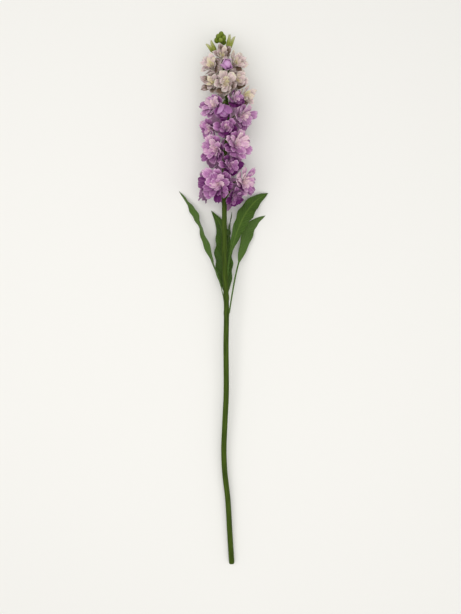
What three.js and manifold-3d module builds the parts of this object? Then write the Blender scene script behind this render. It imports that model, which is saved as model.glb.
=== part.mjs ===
// A stock flower stem lying on its side: one bent stem, five waved leaves, a spike of double blooms, each in
// its own calyx on its own stalk, and green buds at the tip.
// Millimetres. +Y runs along the stem from the cut end to the tip, +Z is up from the surface it lies on.
import * as THREE from "three";
import { mergeVertices } from "three/addons/utils/BufferGeometryUtils.js";
import Module from "manifold-3d";

const wasm = await Module();
wasm.setup();

// Driving dimensions
const STEM_LENGTH = 866; // cut end to the foot of the tip bud
const STEM_SIDES = 10;
const STEM_RINGS = 30;
const STALK_SIDES = 8;
const STALK_STEPS = 2;
const STALK_RADIUS = 0.95;
const BLADE = 0.8; // petal and leaf thickness
const SEAT_GAP = 0.35; // clearance between neighbouring pieces
const WELD = 1e-4; // points nearer than this are one
const TOUCHING = 0.3; // what comes this near the surface lies flat on it
const CENTRE_SHIFT = [13.87, -440.27, 0]; // brings the middle of the whole part's foot to the origin
const DRAW = { times: 1664525, plus: 1013904223, range: 4294967296 }; // the generator of seeded draws

// The stem's line: distance from the cut end, sideways, height of its centre
const STEM_LINE = [
  [0, 0, 4.6],
  [55, -3.4, 7.3],
  [115, -6.8, 10.2],
  [165, -12.0, 12.8],
  [205, -13.4, 14.8],
  [250, -11.6, 17.1],
  [305, -9.2, 20.0],
  [384, -9.4, 24.0],
  [446, -8.6, 27.2],
  [525, -11.8, 31.3],
  [620, -12.0, 35.6],
  [672, -12.1, 36.6],
  [720, -8.2, 37.0],
  [757, -6.4, 37.0],
  [790, -9.8, 36.8],
  [822, -12.4, 36.4],
  [866, -17.2, 35.4],
];
const STEM_RADIUS = [
  [0, 4.7],
  [300, 4.5],
  [450, 4.3],
  [600, 4.0],
  [700, 3.2],
  [780, 2.4],
  [866, 1.7],
];

// Blooms. at: distance from the cut end. turn: degrees round the stem, 0 facing up, 90 to the right.
// out: throat to the stem's centre. lean: degrees that it faces towards the tip. swing: degrees that it faces
// further round the stem than it sits. reach: outer petal length. seed: of how its petals differ.
const BLOOMS = [
  { at: 643, turn: -17, out: 22, lean: -10, swing: 0, reach: 33, seed: 2887, kind: "full" },
  { at: 647, turn: 66, out: 28, lean: -8, swing: -22, reach: 28, seed: 9770, kind: "full" },
  { at: 641, turn: 256, out: 22, lean: -6, swing: 22, reach: 28, seed: 3000, kind: "open" },
  { at: 634, turn: 152, out: 16, lean: -4, swing: -10, reach: 26, seed: 5739, kind: "wide" },
  { at: 696, turn: -34, out: 20, lean: -18, swing: 6, reach: 27, seed: 6665, kind: "full" },
  { at: 703, turn: 27, out: 28, lean: 0, swing: 4, reach: 29, seed: 9256, kind: "full" },
  { at: 690, turn: 184, out: 15, lean: 2, swing: 0, reach: 31, seed: 7000, kind: "wide" },
  { at: 672, turn: 20, out: 21, lean: -6, swing: 0, reach: 23, seed: 8000, kind: "open" },
  { at: 763, turn: -50, out: 22, lean: 6, swing: 14, reach: 25, seed: 13477, kind: "full" },
  { at: 760, turn: -9, out: 34, lean: -58, swing: 0, reach: 22, seed: 12109, kind: "cupped" },
  { at: 770, turn: 26, out: 20, lean: 0, swing: 4, reach: 23, seed: 13072, kind: "open" },
  { at: 749, turn: 50, out: 23, lean: -10, swing: -8, reach: 25, seed: 12703, kind: "full" },
  { at: 730, turn: -78, out: 22, lean: -26, swing: 28, reach: 23, seed: 13259, kind: "open" },
  { at: 750, turn: 178, out: 14, lean: 0, swing: 0, reach: 31, seed: 14037, kind: "wide" },
  { at: 799, turn: -50, out: 20, lean: -2, swing: 28, reach: 25, seed: 16332, kind: "starry" },
  { at: 793, turn: 0, out: 24, lean: -10, swing: 0, reach: 24, seed: 16037, kind: "open" },
  { at: 800, turn: 52, out: 20, lean: -2, swing: -26, reach: 23, seed: 17000, kind: "open" },
  { at: 777, turn: 76, out: 25, lean: -8, swing: -42, reach: 22, seed: 18037, kind: "starry" },
  { at: 814, turn: 182, out: 14, lean: 2, swing: 0, reach: 31, seed: 19000, kind: "wide" },
  { at: 824, turn: -52, out: 19, lean: 8, swing: 26, reach: 26, seed: 20111, kind: "starry" },
  { at: 821, turn: 7, out: 31, lean: -14, swing: 0, reach: 16, seed: 21037, kind: "cupped" },
  { at: 825, turn: 53, out: 19, lean: 8, swing: -26, reach: 24, seed: 22555, kind: "starry" },
  { at: 729, turn: 0, out: 20, lean: -10, swing: 0, reach: 23, seed: 23000, kind: "open" },
  { at: 837, turn: -1, out: 14, lean: 6, swing: 0, reach: 21, seed: 24148, kind: "starry" },
  { at: 626, turn: 33, out: 26, lean: -28, swing: 0, reach: 18, seed: 25000, kind: "open" },
];

// The facets that petals grow from: height and radius of the lower and the upper edge
const OUTER_FACET = { low: [0.6, 3.2], high: [1.5, 2.6] };
const INNER_FACET = { low: [2.2, 3], high: [3, 2.4] };
const SMALL_FACET = { low: [2.5, 2.7], high: [3.3, 2.1] };
// Petal rings, the outer one first. count is the same in all rings of a kind. length and width are shares of
// the bloom's reach; open0 and open1 are the petal's angles from the bloom's axis at its foot and its tip, in
// degrees; cols is the number of faces across the petal at its foot, its middle and its tip.
const RINGS = {
  full: [
    { count: 8, length: 1, width: 0.46, open0: 36, open1: 104, cup: 0.08, cols: [1, 2, 2], ...OUTER_FACET },
    { count: 8, length: 0.78, width: 0.34, open0: 20, open1: 78, cup: 0.18, cols: [1, 1, 2], ...INNER_FACET },
  ],
  open: [
    { count: 6, length: 1, width: 0.56, open0: 34, open1: 98, cup: 0.08, cols: [1, 2, 2], ...OUTER_FACET },
    { count: 6, length: 0.78, width: 0.4, open0: 18, open1: 70, cup: 0.18, cols: [1, 1, 2], ...SMALL_FACET },
  ],
  wide: [
    { count: 6, length: 1, width: 0.56, open0: 44, open1: 134, cup: 0.08, cols: [1, 2, 2], ...OUTER_FACET },
    { count: 6, length: 0.8, width: 0.42, open0: 20, open1: 74, cup: 0.18, cols: [1, 1, 2], ...SMALL_FACET },
  ],
  starry: [
    { count: 6, length: 1, width: 0.46, open0: 34, open1: 96, cup: 0.12, cols: [1, 2, 2], ...OUTER_FACET },
    { count: 6, length: 0.82, width: 0.34, open0: 18, open1: 70, cup: 0.18, cols: [1, 1, 2], ...SMALL_FACET },
  ],
  cupped: [
    { count: 5, length: 1, width: 0.5, open0: 56, open1: -30, cup: 0.12, cols: [1, 2, 2], ...OUTER_FACET },
  ],
};
// A cupped bloom: the room that it takes from its neighbours, as a share of what an open one takes, and where
// its middle lies, as BLOOM_MIDDLE
const CUP = { bulk: 0.7, middle: 0.5 };
const CORE_FOOT = [-4.3, 0.4]; // height and radius of the point of the core, which sits in the calyx
const PETAL_CLAW = 0.8; // half of a petal's width at its foot
const PETAL_BROADEST = 0.72; // where along a petal its width is reached
const PETAL_ROUND = { draw: 0.34, fullness: 0.95 }; // how far a petal's rounded end draws back at its sides
const SHINGLE = { foot: 28, tip: 12 }; // degrees that a petal turns on its spine, to lie over the next
// Wave of a petal's edge: its height, a share of the petal's length, and how fast it turns along and across
const RUFFLE = { height: 0.03, along: 5, across: 2.2 };
// How much petals differ: phi in steps of the ring, open and tilt in degrees, the others as shares
const DIFFER = { phi: 0.03, length: 0.07, width: 0.06, open: 6, cup: [-0.04, 0.05], tilt: 3, sway: 0.04 };
// How a petal gives way where it has no room, and how fast that may change round a bloom, per degree
const SQUEEZE = { lift: 0.5, shrink: 0.48, narrow: 0.45, step: 0.05, slope: 0.004, look: 20 };
const BLOOM_MIDDLE = 0.3; // where a bloom's middle lies above its throat, a share of its reach
const STEM_CLEAR = 1; // room between the stem and the petals over it
// The furled petals at a bloom's heart, shares of its reach: height and radius of their tips, of the notches
// between them and of the hollow's floor
const HEART = { tip: [0.42, 0.12], notch: [0.3, 0.08], floor: [0.2, 0.03] };

// Calyx: a cup of four pointed sepals on a thin stalk. neck, belly, rim, notch and floor are radii; notchDrop
// and seat are depths below the sepals' tips.
const CALYX = { length: 9, neck: 1.0, belly: 2.7, rim: 3.3, notch: 2.8, floor: 0.3, notchDrop: 3, seat: 5 };
const CALYX_BELLY_AT = 0.55; // share of its length, from the sepals' tips
const STALK_DROP = 0.62; // how far below its bloom a stalk leaves the stem, a share of out
const STALK_KNEE = 0.35; // how far below the calyx the stalk bends, a share of out

// Side buds at the tip: as the blooms, with the bud's length and width
const BUDS = [
  { name: "bud_left", at: 848, turn: -56, out: 12, lean: 54, swing: 0, length: 20, width: 14 },
  { name: "bud_right", at: 850, turn: 60, out: 10, lean: 62, swing: 0, length: 24, width: 13 },
  { name: "bud_under", at: 851, turn: 178, out: 10, lean: 56, swing: 0, length: 15, width: 8 },
];
// Outline of a bud: share of its length, then shares of its half width over its sepals and between them
const BUD_SHAPE = [
  [0.06, 0.36, 0.32],
  [0.3, 0.8, 0.7],
  [0.5, 0.92, 0.5],
];
// Where its sepals part: heights as shares of its length, then radii as shares of its half width
const BUD_TIP = { sepal: 1, notch: 0.5, floor: 0.42, spread: 1, inner: 0.3 };
const BUD_HOLLOW = 0.2; // radius of the floor between the sepals
// The tip's cluster: a short neck from foot to head, and small round buds on it in a spiral, from the lowest
// and outermost to the highest: their share of the neck's height, distance from its centre and radius
const TIP = { height: 11, foot: 1.7, head: 3.1, count: 9, turn: 137.5 };
const TIP_LOW = { share: 0.02, ring: 7.2, bead: 4.1 };
const TIP_HIGH = { share: 0.98, ring: 3.4, bead: 4.3 };
const BEAD_FACETS = [6, 4];

// Leaves. line: points of the midrib. width: full width. roll: degrees that the blade turns about its midrib.
// stalk: share of the length that is narrow stalk. skew: power that sets where the blade is broadest, below 1
// nearer its foot. wave and waves: height and number of the edge's waves.
const LEAVES = [
  {
    name: "leaf_left",
    line: [
      [-13.6, 464, 28],
      [-20, 490, 29],
      [-31, 521, 26],
      [-44.5, 560, 20],
      [-57, 593, 14],
      [-71, 617, 6],
      [-87.6, 638, 0.6],
    ],
    width: 15, roll: 64, rollEnd: 46, stalk: 0.12, skew: 1.1, wave: 2.2, waves: 3.4,
  },
  {
    name: "leaf_behind",
    line: [
      [-9, 462, 23.3],
      [-9.8, 484, 20],
      [-11.8, 508, 17.5],
      [-13.5, 532, 15.5],
      [-14, 556, 12],
      [-19.5, 583, 7.5],
      [-34, 606, 2.6],
    ],
    width: 29, roll: 6, rollEnd: -6, stalk: 0.02, skew: 0.9, wave: 2.6, waves: 2.6,
  },
  {
    name: "leaf_right",
    line: [
      [-6.9, 498, 31.9],
      [-4, 527, 33.5],
      [3, 553, 31.5],
      [11.5, 577, 26.5],
      [22, 599, 19],
      [38, 620, 10],
      [60, 635, 2.2],
    ],
    width: 25, roll: -16, rollEnd: -4, stalk: 0.12, skew: 1.5, wave: 3, waves: 2.8,
  },
  {
    name: "leaf_right_low",
    line: [
      [-4.4, 437, 26.4],
      [1.5, 474, 26],
      [6.5, 500, 21.5],
      [12.5, 524, 16],
      [20, 549, 10.5],
      [28.5, 573, 3.6],
      [40, 588, 0.5],
      [56, 598, 0.5],
    ],
    width: 18, roll: -34, rollEnd: 0, stalk: 0.4, skew: 0.82, wave: 2.6, waves: 2.8,
  },
  {
    name: "leaf_small",
    line: [
      [-8.4, 541, 28.2],
      [-6.8, 559, 24.6],
      [-3.8, 581, 21.4],
      [0.2, 603, 19.4],
    ],
    width: 13, roll: -80, rollEnd: -74, stalk: 0.12, skew: 0.82, wave: 1.2, waves: 2,
  },
];
const LEAF_STEPS = 12;
const LEAF_COLS = 4;
const LEAF_FOLD = 0.16; // how far a leaf's sides rise from its midrib, a share of its half width
const LEAF_STALK = 2.8; // width of the leaf's stalk
const LEAF_TAPER = 0.75; // how much of the stalk's width the midrib loses towards the tip
const LEAF_FULLNESS = 0.86; // power that sets how full a blade is
const LEAF_SIDES = 1.9; // phase that parts the waves of a leaf's two edges
const LEAF_NEAR = 0.01; // step along the midrib that gives its direction
const LEAF_LOW = 0.5; // height of a leaf's middle surface where it lies on the surface below
const LEAF_FLAT_BELOW = 6; // a leaf's fold and waves fade out below this height

const COLOURS = {
  stem: "#3f4f1e",
  calyx: "#566428",
  leaf: "#3a5416",
  bud: "#a0a652",
  deep: "#a77a9e",
  lilac: "#b48dab",
  pale: "#cbb7b3",
};
const DEEP_BELOW = 740; // blooms below this distance are deep, then lilac
const PALE_ABOVE = 772; // and above this one pale, if they are open

const rad = THREE.MathUtils.degToRad;
const UP = new THREE.Vector3(0, 0, 1);
const RIGHT = new THREE.Vector3(1, 0, 0);

// The same draws on every run
function draws(seed) {
  let state = seed >>> 0;
  return (low, high) => {
    state = (Math.imul(state, DRAW.times) + DRAW.plus) >>> 0;
    return low + ((high - low) * state) / DRAW.range;
  };
}

// Smooth value of one column of a table whose first column rises
function smooth(table, column, at) {
  const last = table.length - 1;
  const t = THREE.MathUtils.clamp(at, table[0][0], table[last][0]);
  const i = Math.min(last - 1, Math.max(0, table.findIndex((row) => row[0] >= t) - 1));
  const slope = (k) => {
    const a = table[Math.max(0, k - 1)];
    const b = table[Math.min(last, k + 1)];
    return (b[column] - a[column]) / (b[0] - a[0]);
  };
  const [p, q] = [table[i], table[i + 1]];
  const span = q[0] - p[0];
  const s = (t - p[0]) / span;
  const s2 = s * s;
  const s3 = s2 * s;
  return (
    (2 * s3 - 3 * s2 + 1) * p[column] +
    (s3 - 2 * s2 + s) * span * slope(i) +
    (3 * s2 - 2 * s3) * q[column] +
    (s3 - s2) * span * slope(i + 1)
  );
}

// Smooth point along evenly weighted control points, t from 0 to 1
function along(points, t) {
  const rows = points.map((p, i) => [i / (points.length - 1), ...p]);
  return new THREE.Vector3(smooth(rows, 1, t), smooth(rows, 2, t), smooth(rows, 3, t));
}

const stemCentre = (at) => new THREE.Vector3(smooth(STEM_LINE, 1, at), at, smooth(STEM_LINE, 2, at));
const stemRadius = (at) => smooth(STEM_RADIUS, 1, at);
const stemWay = (at) => stemCentre(at + 1).sub(stemCentre(at - 1)).normalize();

// The direction square to the stem at a turn about it
function radial(at, turn) {
  const way = stemWay(at);
  const right = new THREE.Vector3().crossVectors(way, UP).normalize();
  const top = new THREE.Vector3().crossVectors(right, way);
  return top.multiplyScalar(Math.cos(rad(turn))).addScaledVector(right, Math.sin(rad(turn)));
}

// A closed solid from a geometry
function solid(geometry) {
  const bare = geometry.clone();
  bare.deleteAttribute("normal");
  bare.deleteAttribute("uv");
  const merged = mergeVertices(bare, WELD);
  return new wasm.Manifold(
    new wasm.Mesh({
      numProp: 3,
      vertProperties: merged.attributes.position.array,
      triVerts: new Uint32Array(merged.index.array),
    }),
  );
}

// The largest body of a solid, as a geometry
function shape(made) {
  const body = made.decompose().reduce((a, b) => (b.volume() > a.volume() ? b : a));
  const { vertProperties, triVerts, numProp } = body.getMesh();
  const corners = new Float32Array(triVerts.length * 3);
  triVerts.forEach((v, i) => corners.set(vertProperties.subarray(v * numProp, v * numProp + 3), i * 3));
  const geometry = new THREE.BufferGeometry().setAttribute("position", new THREE.BufferAttribute(corners, 3));
  geometry.computeVertexNormals();
  return geometry;
}

// A geometry from points and faces; what nearly touches the surface is laid on it
function faceted(points, faces) {
  const corners = points.flatMap((p) => [p.x, p.y, p.z < TOUCHING ? 0 : p.z]);
  const geometry = new THREE.BufferGeometry().setAttribute(
    "position",
    new THREE.BufferAttribute(new Float32Array(corners), 3),
  );
  return geometry.setIndex(faces);
}

// Points and faces of a skin over rings of equally many points, each end closed by a fan. isOpen(i, k) leaves
// out the facet over side k of ring i.
function shell(rings, isOpen = () => false) {
  const sides = rings[0].length;
  const faces = [];
  for (let i = 0; i < rings.length - 1; i++) {
    for (let k = 0; k < sides; k++) {
      if (isOpen(i, k)) continue;
      const a = i * sides + k;
      const b = i * sides + ((k + 1) % sides);
      faces.push(a, b, b + sides, a, b + sides, a + sides);
    }
  }
  const points = rings.flat();
  [rings[0], rings.at(-1)].forEach((ring, end) => {
    const centre = ring.reduce((sum, p) => sum.add(p), new THREE.Vector3()).divideScalar(sides);
    const first = end ? (rings.length - 1) * sides : 0;
    points.push(centre);
    for (let k = 0; k < sides; k++) {
      const edge = [first + k, first + ((k + 1) % sides)];
      faces.push(...(end ? edge : edge.reverse()), points.length - 1);
    }
  });
  return { points, faces };
}

function skin(rings) {
  const { points, faces } = shell(rings);
  return faceted(points, faces);
}

// A ring of points round a centre, square to a direction and started from the sideways one; radius may be a
// function of the point's number
function ring(centre, way, sideways, radius, sides) {
  const right = sideways.clone().addScaledVector(way, -sideways.dot(way)).normalize();
  const top = new THREE.Vector3().crossVectors(right, way);
  return Array.from({ length: sides }, (_, k) => {
    const angle = (-2 * Math.PI * k) / sides;
    const r = typeof radius === "function" ? radius(k) : radius;
    const across = right.clone().multiplyScalar(r * Math.cos(angle));
    return centre.clone().add(across).addScaledVector(top, r * Math.sin(angle));
  });
}

// Rings along a line of points, square to it
function ringsAlong(centres, sideways, radii, sides) {
  return centres.map((centre, i) => {
    const way = centres[Math.min(i + 1, centres.length - 1)].clone().sub(centres[Math.max(i - 1, 0)]);
    return ring(centre, way.normalize(), sideways, radii[i], sides);
  });
}

// Triangles between two neighbouring rows, which may hold different numbers of points
function stitch(first, firstCount, second, secondCount) {
  const faces = [];
  let [i, j] = [0, 0];
  while (i < firstCount - 1 || j < secondCount - 1) {
    const nextFirst = (i + 1) / (firstCount - 1);
    const nextSecond = (j + 1) / (secondCount - 1);
    if (nextFirst <= nextSecond) {
      faces.push(first + i, first + i + 1, second + j);
      i += 1;
    } else {
      faces.push(first + i, second + j + 1, second + j);
      j += 1;
    }
  }
  return faces;
}

// Adds a blade over rows of points: both faces split alike, closed round its edge. With a root, the first row
// is taken from four points that are there already, its outer pair and its inner pair.
function addBlade({ points, faces }, rows, thickness, root) {
  const starts = [];
  let count = 0;
  for (const row of rows) {
    starts.push(count);
    count += row.length;
  }
  const middle = rows.flat();
  const split = [];
  for (let i = 0; i < rows.length - 1; i++) {
    split.push(...stitch(starts[i], rows[i].length, starts[i + 1], rows[i + 1].length));
  }
  const surface = new THREE.BufferGeometry().setFromPoints(middle).setIndex(split);
  surface.computeVertexNormals();
  const offset = (k, by) => {
    const normal = new THREE.Vector3().fromBufferAttribute(surface.attributes.normal, k);
    return points.push(middle[k].clone().addScaledVector(normal, by)) - 1;
  };
  const outer = middle.map((_, k) => (root && k < 2 ? root.outer[k] : offset(k, thickness / 2)));
  const inner = middle.map((_, k) => (root && k < 2 ? root.inner[k] : offset(k, -thickness / 2)));
  for (let k = 0; k < split.length; k += 3) {
    faces.push(outer[split[k]], outer[split[k + 1]], outer[split[k + 2]]);
    faces.push(inner[split[k]], inner[split[k + 2]], inner[split[k + 1]]);
  }
  const last = rows.length - 1;
  const rim = [
    ...rows[0].map((_, j) => j),
    ...rows.slice(1, last).map((row, i) => starts[i + 1] + row.length - 1),
    ...rows[last].map((_, j) => count - 1 - j),
    ...starts.slice(1, last).reverse(),
  ];
  rim.forEach((a, k) => {
    if (root && k === 0) return;
    const b = rim[(k + 1) % rim.length];
    faces.push(outer[a], inner[a], outer[b], outer[b], inner[a], inner[b]);
  });
}

function blade(rows, thickness) {
  const made = { points: [], faces: [] };
  addBlade(made, rows, thickness);
  return faceted(made.points, made.faces);
}

// Where a bloom or bud sits: its throat, the way it faces, and two directions square to that
function seat(spec) {
  const outward = radial(spec.at, spec.turn);
  const facing = radial(spec.at, spec.turn + spec.swing);
  const way = stemWay(spec.at);
  const lean = rad(spec.lean);
  const face = facing.clone().multiplyScalar(Math.cos(lean)).addScaledVector(way, Math.sin(lean));
  const side = new THREE.Vector3().crossVectors(way, facing).normalize();
  const top = new THREE.Vector3().crossVectors(face, side);
  const throat = stemCentre(spec.at).addScaledVector(outward, spec.out);
  return { outward, face, side, top, throat };
}

// The direction away from a bloom's axis at an angle round it
function outAt(own, phi) {
  return own.side.clone().multiplyScalar(Math.cos(phi)).addScaledVector(own.top, Math.sin(phi));
}

// A point round a bloom's axis
function around(own, height, radius, phi) {
  return own.throat.clone().addScaledVector(own.face, height).addScaledVector(outAt(own, phi), radius);
}

const bulk = (spec) => spec.reach * (spec.kind === "cupped" ? CUP.bulk : 1);
const middleAt = (spec) => spec.reach * (spec.kind === "cupped" ? CUP.middle : BLOOM_MIDDLE);

// The walls that part a bloom from its neighbours, the stem and the surface: points p inside have n.p below d
function wallsOf(index, seats) {
  const spec = BLOOMS[index];
  const middle = (k) => around(seats[k], middleAt(BLOOMS[k]), 0, 0);
  const own = middle(index);
  const walls = [{ n: UP.clone().negate(), d: 0 }];
  BLOOMS.forEach((other, k) => {
    if (k === index) return;
    const n = middle(k).sub(own);
    const apart = n.length();
    n.divideScalar(apart);
    walls.push({ n, d: n.dot(own) + (apart * bulk(spec)) / (bulk(spec) + bulk(other)) });
  });
  const { outward } = seats[index];
  const clear = stemRadius(spec.at) + STEM_CLEAR;
  walls.push({ n: outward.clone().negate(), d: -outward.dot(stemCentre(spec.at)) - clear });
  return walls;
}

// How far a point lies beyond the worst of the walls
const beyond = (point, walls) => Math.max(...walls.map(({ n, d }) => n.dot(point) - d));

// One petal as a grid of points over its middle surface. squeeze from 0 to 1 lifts and shortens it.
function petalGrid(own, ringSpec, reach, form, squeeze) {
  const { phi } = form;
  const [foot, root] = ringSpec.low.map((low, i) => (low + ringSpec.high[i]) / 2);
  const lift = 1 - SQUEEZE.lift * squeeze;
  const length = ringSpec.length * reach * form.length * (1 - SQUEEZE.shrink * squeeze);
  const half = ((ringSpec.width * reach * form.width) / 2) * (1 - SQUEEZE.narrow * squeeze);
  const open0 = rad(ringSpec.open0 * lift);
  const turn = rad((ringSpec.open1 + form.open) * lift) - open0;
  const out = outAt(own, phi);
  const across = outAt(own, phi + Math.PI / 2);
  const grid = [];
  const steps = ringSpec.cols.length - 1;
  for (let i = 0; i <= steps; i++) {
    const row = [];
    for (let j = 0; j <= ringSpec.cols[i]; j++) {
      const v = -1 + (2 * j) / ringSpec.cols[i];
      const drawn = PETAL_ROUND.draw * (1 - Math.sqrt(1 - PETAL_ROUND.fullness * v * v));
      const t = (i / steps) * (1 - drawn);
      const angle = open0 + turn * t;
      const rho = root + (length * (Math.cos(open0) - Math.cos(angle))) / turn;
      const rise = foot + (length * (Math.sin(angle) - Math.sin(open0))) / turn;
      const wide = PETAL_CLAW + (half - PETAL_CLAW) * THREE.MathUtils.smoothstep(t, 0, PETAL_BROADEST);
      const turned = form.phase + RUFFLE.along * t + RUFFLE.across * v;
      const wave = RUFFLE.height * length * t * Math.sin(turned) * v * v;
      const tilt = rad(THREE.MathUtils.lerp(SHINGLE.foot, SHINGLE.tip, t) + form.tilt);
      const raised = (form.cup + ringSpec.cup) * wide * v * v + wave + v * wide * Math.sin(tilt);
      row.push(
        own.throat
          .clone()
          .addScaledVector(out, rho - raised * Math.cos(angle))
          .addScaledVector(own.face, rise + raised * Math.sin(angle))
          .addScaledVector(across, v * wide * Math.cos(tilt) + form.sway * length * t * t),
      );
    }
    grid.push(row);
  }
  return grid;
}

// How much a bloom's outer petal has to give way in one direction to stay inside the walls
function squeezeAt(own, spec, phi, walls) {
  const plain = { phi, length: 1, width: 1, open: 0, cup: 0, tilt: 0, sway: 0, phase: 0 };
  const outer = RINGS[spec.kind][0];
  for (let squeeze = 0; squeeze < 1; squeeze += SQUEEZE.step) {
    const worst = Math.max(
      ...petalGrid(own, outer, spec.reach, plain, squeeze).flatMap((row) => row.map((p) => beyond(p, walls))),
    );
    if (worst < -(BLADE + SEAT_GAP) / 2) return squeeze;
  }
  return 1;
}

// How each petal of a bloom differs from the plain one, in the order of its rings
function petalForms(spec, draw) {
  const start = draw(0, 2 * Math.PI);
  return RINGS[spec.kind].map(({ count }, level) =>
    Array.from({ length: count }, (_, k) => ({
      phi: start + ((2 * Math.PI) / count) * (k + level / 2 + draw(-DIFFER.phi, DIFFER.phi)),
      length: draw(1 - DIFFER.length, 1 + DIFFER.length),
      width: draw(1 - DIFFER.width, 1 + DIFFER.width),
      open: draw(-DIFFER.open, DIFFER.open),
      cup: draw(...DIFFER.cup),
      tilt: draw(-DIFFER.tilt, DIFFER.tilt),
      sway: draw(-DIFFER.sway, DIFFER.sway),
      phase: draw(0, 2 * Math.PI),
    })),
  );
}

// The same, changing slowly round the bloom, so that petals side by side give way together
function easedSqueeze(own, spec, phi, walls) {
  let most = 0;
  for (let turn = SQUEEZE.look - 180; turn <= 180; turn += SQUEEZE.look) {
    const there = squeezeAt(own, spec, phi + rad(turn), walls);
    most = Math.max(most, there - SQUEEZE.slope * Math.abs(turn));
  }
  return most;
}

// The petals of one bloom, each grown from a facet of the small core, whose top ends in furled petals
function bloom(index, seats) {
  const spec = BLOOMS[index];
  const own = seats[index];
  const levels = RINGS[spec.kind];
  const forms = petalForms(spec, draws(spec.seed));
  const corners = (level, [height, radius]) =>
    forms[level].flatMap(({ phi }) =>
      [-1, 1].map((v) => around(own, height, radius, phi + (v * PETAL_CLAW) / levels[level].low[1])),
    );
  const top = levels.length - 1;
  const heart = (tip, notch) =>
    forms[top].flatMap(({ phi }, k) => {
      const next = forms[top][k + 1]?.phi ?? forms[top][0].phi + 2 * Math.PI;
      return [
        around(own, tip[0] * spec.reach, tip[1] * spec.reach, phi),
        around(own, notch[0] * spec.reach, notch[1] * spec.reach, (phi + next) / 2),
      ];
    });
  const rings = [
    corners(0, CORE_FOOT),
    ...levels.flatMap((ringSpec, level) => [corners(level, ringSpec.low), corners(level, ringSpec.high)]),
    heart(HEART.tip, HEART.notch),
    heart(HEART.floor, HEART.floor),
  ];
  const isOpen = (i, k) => i % 2 === 1 && i < 2 * levels.length && k % 2 === 0;
  const made = shell(rings, isOpen);
  const walls = wallsOf(index, seats);
  const sides = rings[0].length;
  levels.forEach((ringSpec, level) => {
    forms[level].forEach((form, k) => {
      const squeeze = easedSqueeze(own, spec, form.phi, walls);
      const low = (2 * level + 1) * sides + 2 * k;
      const root = { outer: [low, low + 1], inner: [low + sides, low + sides + 1] };
      addBlade(made, petalGrid(own, ringSpec, spec.reach, form, squeeze), BLADE, root);
    });
  });
  let petals = solid(faceted(made.points, made.faces));
  for (const { n, d } of walls) {
    petals = petals.trimByPlane([-n.x, -n.y, -n.z], -(d - SEAT_GAP / 2));
  }
  return petals;
}

// The line of a stalk from the stem's centre to the foot of its calyx
function stalkLine(spec, own, foot) {
  const root = stemCentre(spec.at - STALK_DROP * spec.out);
  const knee = foot.clone().addScaledVector(own.face, -STALK_KNEE * spec.out);
  return new THREE.QuadraticBezierCurve3(root, knee, foot).getPoints(STALK_STEPS);
}

// The rings of a stalk, up to but without its last point
function stalkRings(own, line, grow) {
  return ringsAlong(line, own.side, line.map(() => STALK_RADIUS + grow), STALK_SIDES).slice(0, -1);
}

// A calyx on its stalk; grow swells it evenly, for the room that others leave it
function calyx(spec, own, grow) {
  const at = (height) => own.throat.clone().addScaledVector(own.face, height);
  const rings = stalkRings(own, stalkLine(spec, own, at(-CALYX.length)), grow);
  const round = (height, radius) => ring(at(height), own.face, own.side, radius, STALK_SIDES);
  const cup = (height, radius) => rings.push(round(height, radius + grow));
  cup(-CALYX.length, CALYX.neck);
  cup(-CALYX_BELLY_AT * CALYX.length, CALYX.belly);
  const rim = round(grow, (k) => (k % 2 ? CALYX.notch : CALYX.rim) + grow);
  rim.forEach((p, k) => p.addScaledVector(own.face, k % 2 ? -CALYX.notchDrop : 0));
  rings.push(rim);
  rings.push(ring(at(grow ? 0 : -CALYX.seat), own.face, own.side, CALYX.floor, STALK_SIDES));
  return solid(skin(rings));
}

// A closed green bud on its stalk: plump, with four pointed sepals that part at their tips
function bud(spec, own) {
  const at = (height) => own.throat.clone().addScaledVector(own.face, height);
  const rings = stalkRings(own, stalkLine(spec, own, at(0)), 0);
  const half = spec.width / 2;
  for (const [t, sepal, between] of BUD_SHAPE) {
    const radius = (k) => half * (k % 2 ? between : sepal);
    rings.push(ring(at(t * spec.length), own.face, own.side, radius, STALK_SIDES));
  }
  const spread = (k) => half * (k % 2 ? BUD_TIP.inner : BUD_TIP.spread);
  const tips = ring(at(BUD_TIP.sepal * spec.length), own.face, own.side, spread, STALK_SIDES);
  const drop = (BUD_TIP.notch - BUD_TIP.sepal) * spec.length;
  tips.forEach((p, k) => p.addScaledVector(own.face, k % 2 ? drop : 0));
  rings.push(tips);
  rings.push(ring(at(BUD_TIP.floor * spec.length), own.face, own.side, BUD_HOLLOW, STALK_SIDES));
  return solid(skin(rings));
}

// The tip: small round buds in a spiral on the stem's end
function tipBuds() {
  const way = stemWay(STEM_LENGTH);
  const foot = stemCentre(STEM_LENGTH).addScaledVector(way, SEAT_GAP);
  const rings = [0, 1].map((t) =>
    ring(foot.clone().addScaledVector(way, t * TIP.height), way, RIGHT, t ? TIP.head : TIP.foot, STALK_SIDES),
  );
  let made = solid(skin(rings));
  for (let k = 0; k < TIP.count; k++) {
    const [share, reach, radius] = ["share", "ring", "bead"].map((key) =>
      THREE.MathUtils.lerp(TIP_LOW[key], TIP_HIGH[key], k / (TIP.count - 1)),
    );
    const outward = radial(STEM_LENGTH, TIP.turn * k);
    const centre = foot.clone().addScaledVector(way, share * TIP.height).addScaledVector(outward, reach);
    const turned = new THREE.Matrix4().lookAt(centre, foot, UP);
    const bead = new THREE.SphereGeometry(radius, ...BEAD_FACETS).applyMatrix4(turned).translate(...centre);
    made = made.add(solid(bead));
  }
  return made;
}

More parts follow.
